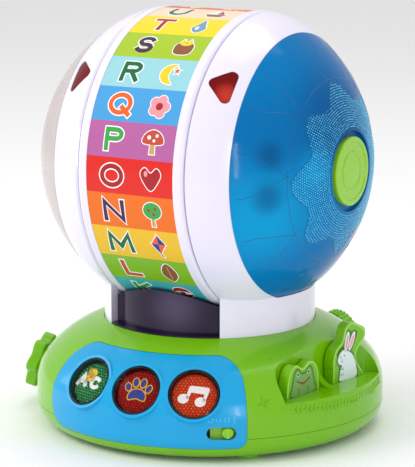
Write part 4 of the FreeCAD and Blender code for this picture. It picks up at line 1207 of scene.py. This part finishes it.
# Raised lip round the front of each figure, in a lighter green as a painted highlight.
figureLips = {
    "frog": (-1,
             [(16, 34), (15.6, 38), (14.8, 44.5), (12, 50), (7.4, 52.4), (3.0, 50.2), (0, 49.4), (-3.0, 50.2),
              (-7.4, 52.4), (-12, 50), (-14.8, 44.5), (-15.6, 38), (-16, 34)]),
    "rabbit": (1,
               [(16, 33.6), (12.5, 38), (7.8, 43.5), (7.0, 48.5), (10.5, 53.0), (16.4, 57.4), (16.6, 61.0),
                (10.5, 65.2), (2.5, 68.0), (-3.0, 65.5), (-6.0, 58.5), (-12.5, 54.6), (-15.8, 49.0),
                (-16, 42), (-16, 34)])}


def buildLips():
    for name, (side, points) in figureLips.items():
        piece = startPiece(name + "_lip")
        place = onPlaque(side)
        inset = [(x * 0.95, y - 0.7 if y > 36 else y) for x, y in points]
        line = smoothLoop(inset, 6, False)
        addBead(piece, [place((x, y, -0.5)) for x, y in line], 0.78, "greenLip")
        closePiece(piece, name)


buildLips()
print("figures built")

# Floor, lights and the photograph's camera.
studio = {"floorSize": 14.0, "world": 0.76}
lamps = {
    "keyLight": {"place": (-0.9, -1.1, 1.3), "aim": (0, 0, 0.12), "size": (1.0, 1.0), "power": 11.0,
                 "mirrored": False},
    "topLight": {"place": (0.1, 0.5, 1.7), "aim": (0, 0, 0.12), "size": (1.0, 1.0), "power": 6.5,
                 "mirrored": True},
    "stripLight": {"place": (1.12, -1.0, 0.34), "aim": (0.06, -0.05, 0.2), "size": (0.07, 0.6), "power": 2.4,
                   "mirrored": True},
    "sideLight": {"place": (-1.3, -0.35, 0.7), "aim": (0, 0, 0.15), "size": (0.5, 0.9), "power": 3.0,
                  "mirrored": True}}


def areaLight(name, place, aim, size, power, mirrored):
    data = bpy.data.lights.new(name, "AREA")
    data.shape = "RECTANGLE"
    data.size, data.size_y = size
    data.energy = power
    obj = bpy.data.objects.new(name, data)
    obj.location = place
    obj.visible_glossy = mirrored
    obj.rotation_euler = (Vector(aim) - Vector(place)).to_track_quat("-Z", "Y").to_euler()
    bpy.context.scene.collection.objects.link(obj)


def buildStudio():
    half = studio["floorSize"] / 2
    mesh = bpy.data.meshes.new("floor")
    mesh.from_pydata([(-half, -half, 0), (half, -half, 0), (half, half, 0), (-half, half, 0)], [],
                     [(0, 1, 2, 3)])
    paleFloor = moulded("paleFloor", rgb(250, 250, 250), rough=0.6, flow=0.1, grain=60.0, bump=0.01,
                        shade=0.99)
    mesh.materials.append(paleFloor)
    floor = bpy.data.objects.new("floor", mesh)
    bpy.context.scene.collection.objects.link(floor)
    for name, values in lamps.items():
        areaLight(name, **values)
    world = bpy.data.worlds.new("studioAir")
    world.use_nodes = True
    world.node_tree.nodes["Background"].inputs["Color"].default_value = (1, 1, 1, 1)
    world.node_tree.nodes["Background"].inputs["Strength"].default_value = studio["world"]
    bpy.context.scene.world = world
    bpy.context.scene.view_settings.view_transform = "Standard"


view = {"place": (681.4, -1136.9, 373.1), "right": (0.857, 0.515, 0.0), "back": (0.5056, -0.8414, 0.1908),
        "pixels": 2200.0, "width": 415.0}


def buildCamera():
    data = bpy.data.cameras.new("camera")
    data.sensor_fit = "HORIZONTAL"
    data.sensor_width = 36.0
    data.lens = view["pixels"] * data.sensor_width / view["width"]
    data.clip_end = 50.0
    obj = bpy.data.objects.new("camera", data)
    back = Vector(view["back"]).normalized()
    right = Vector(view["right"]).normalized()
    up = back.cross(right)
    turn = Matrix((right, up, back)).transposed().to_4x4()
    obj.matrix_world = Matrix.Translation(toRow(view["place"])) @ turn
    bpy.context.scene.collection.objects.link(obj)
    bpy.context.scene.camera = obj


buildStudio()
buildCamera()
print("scene ready")
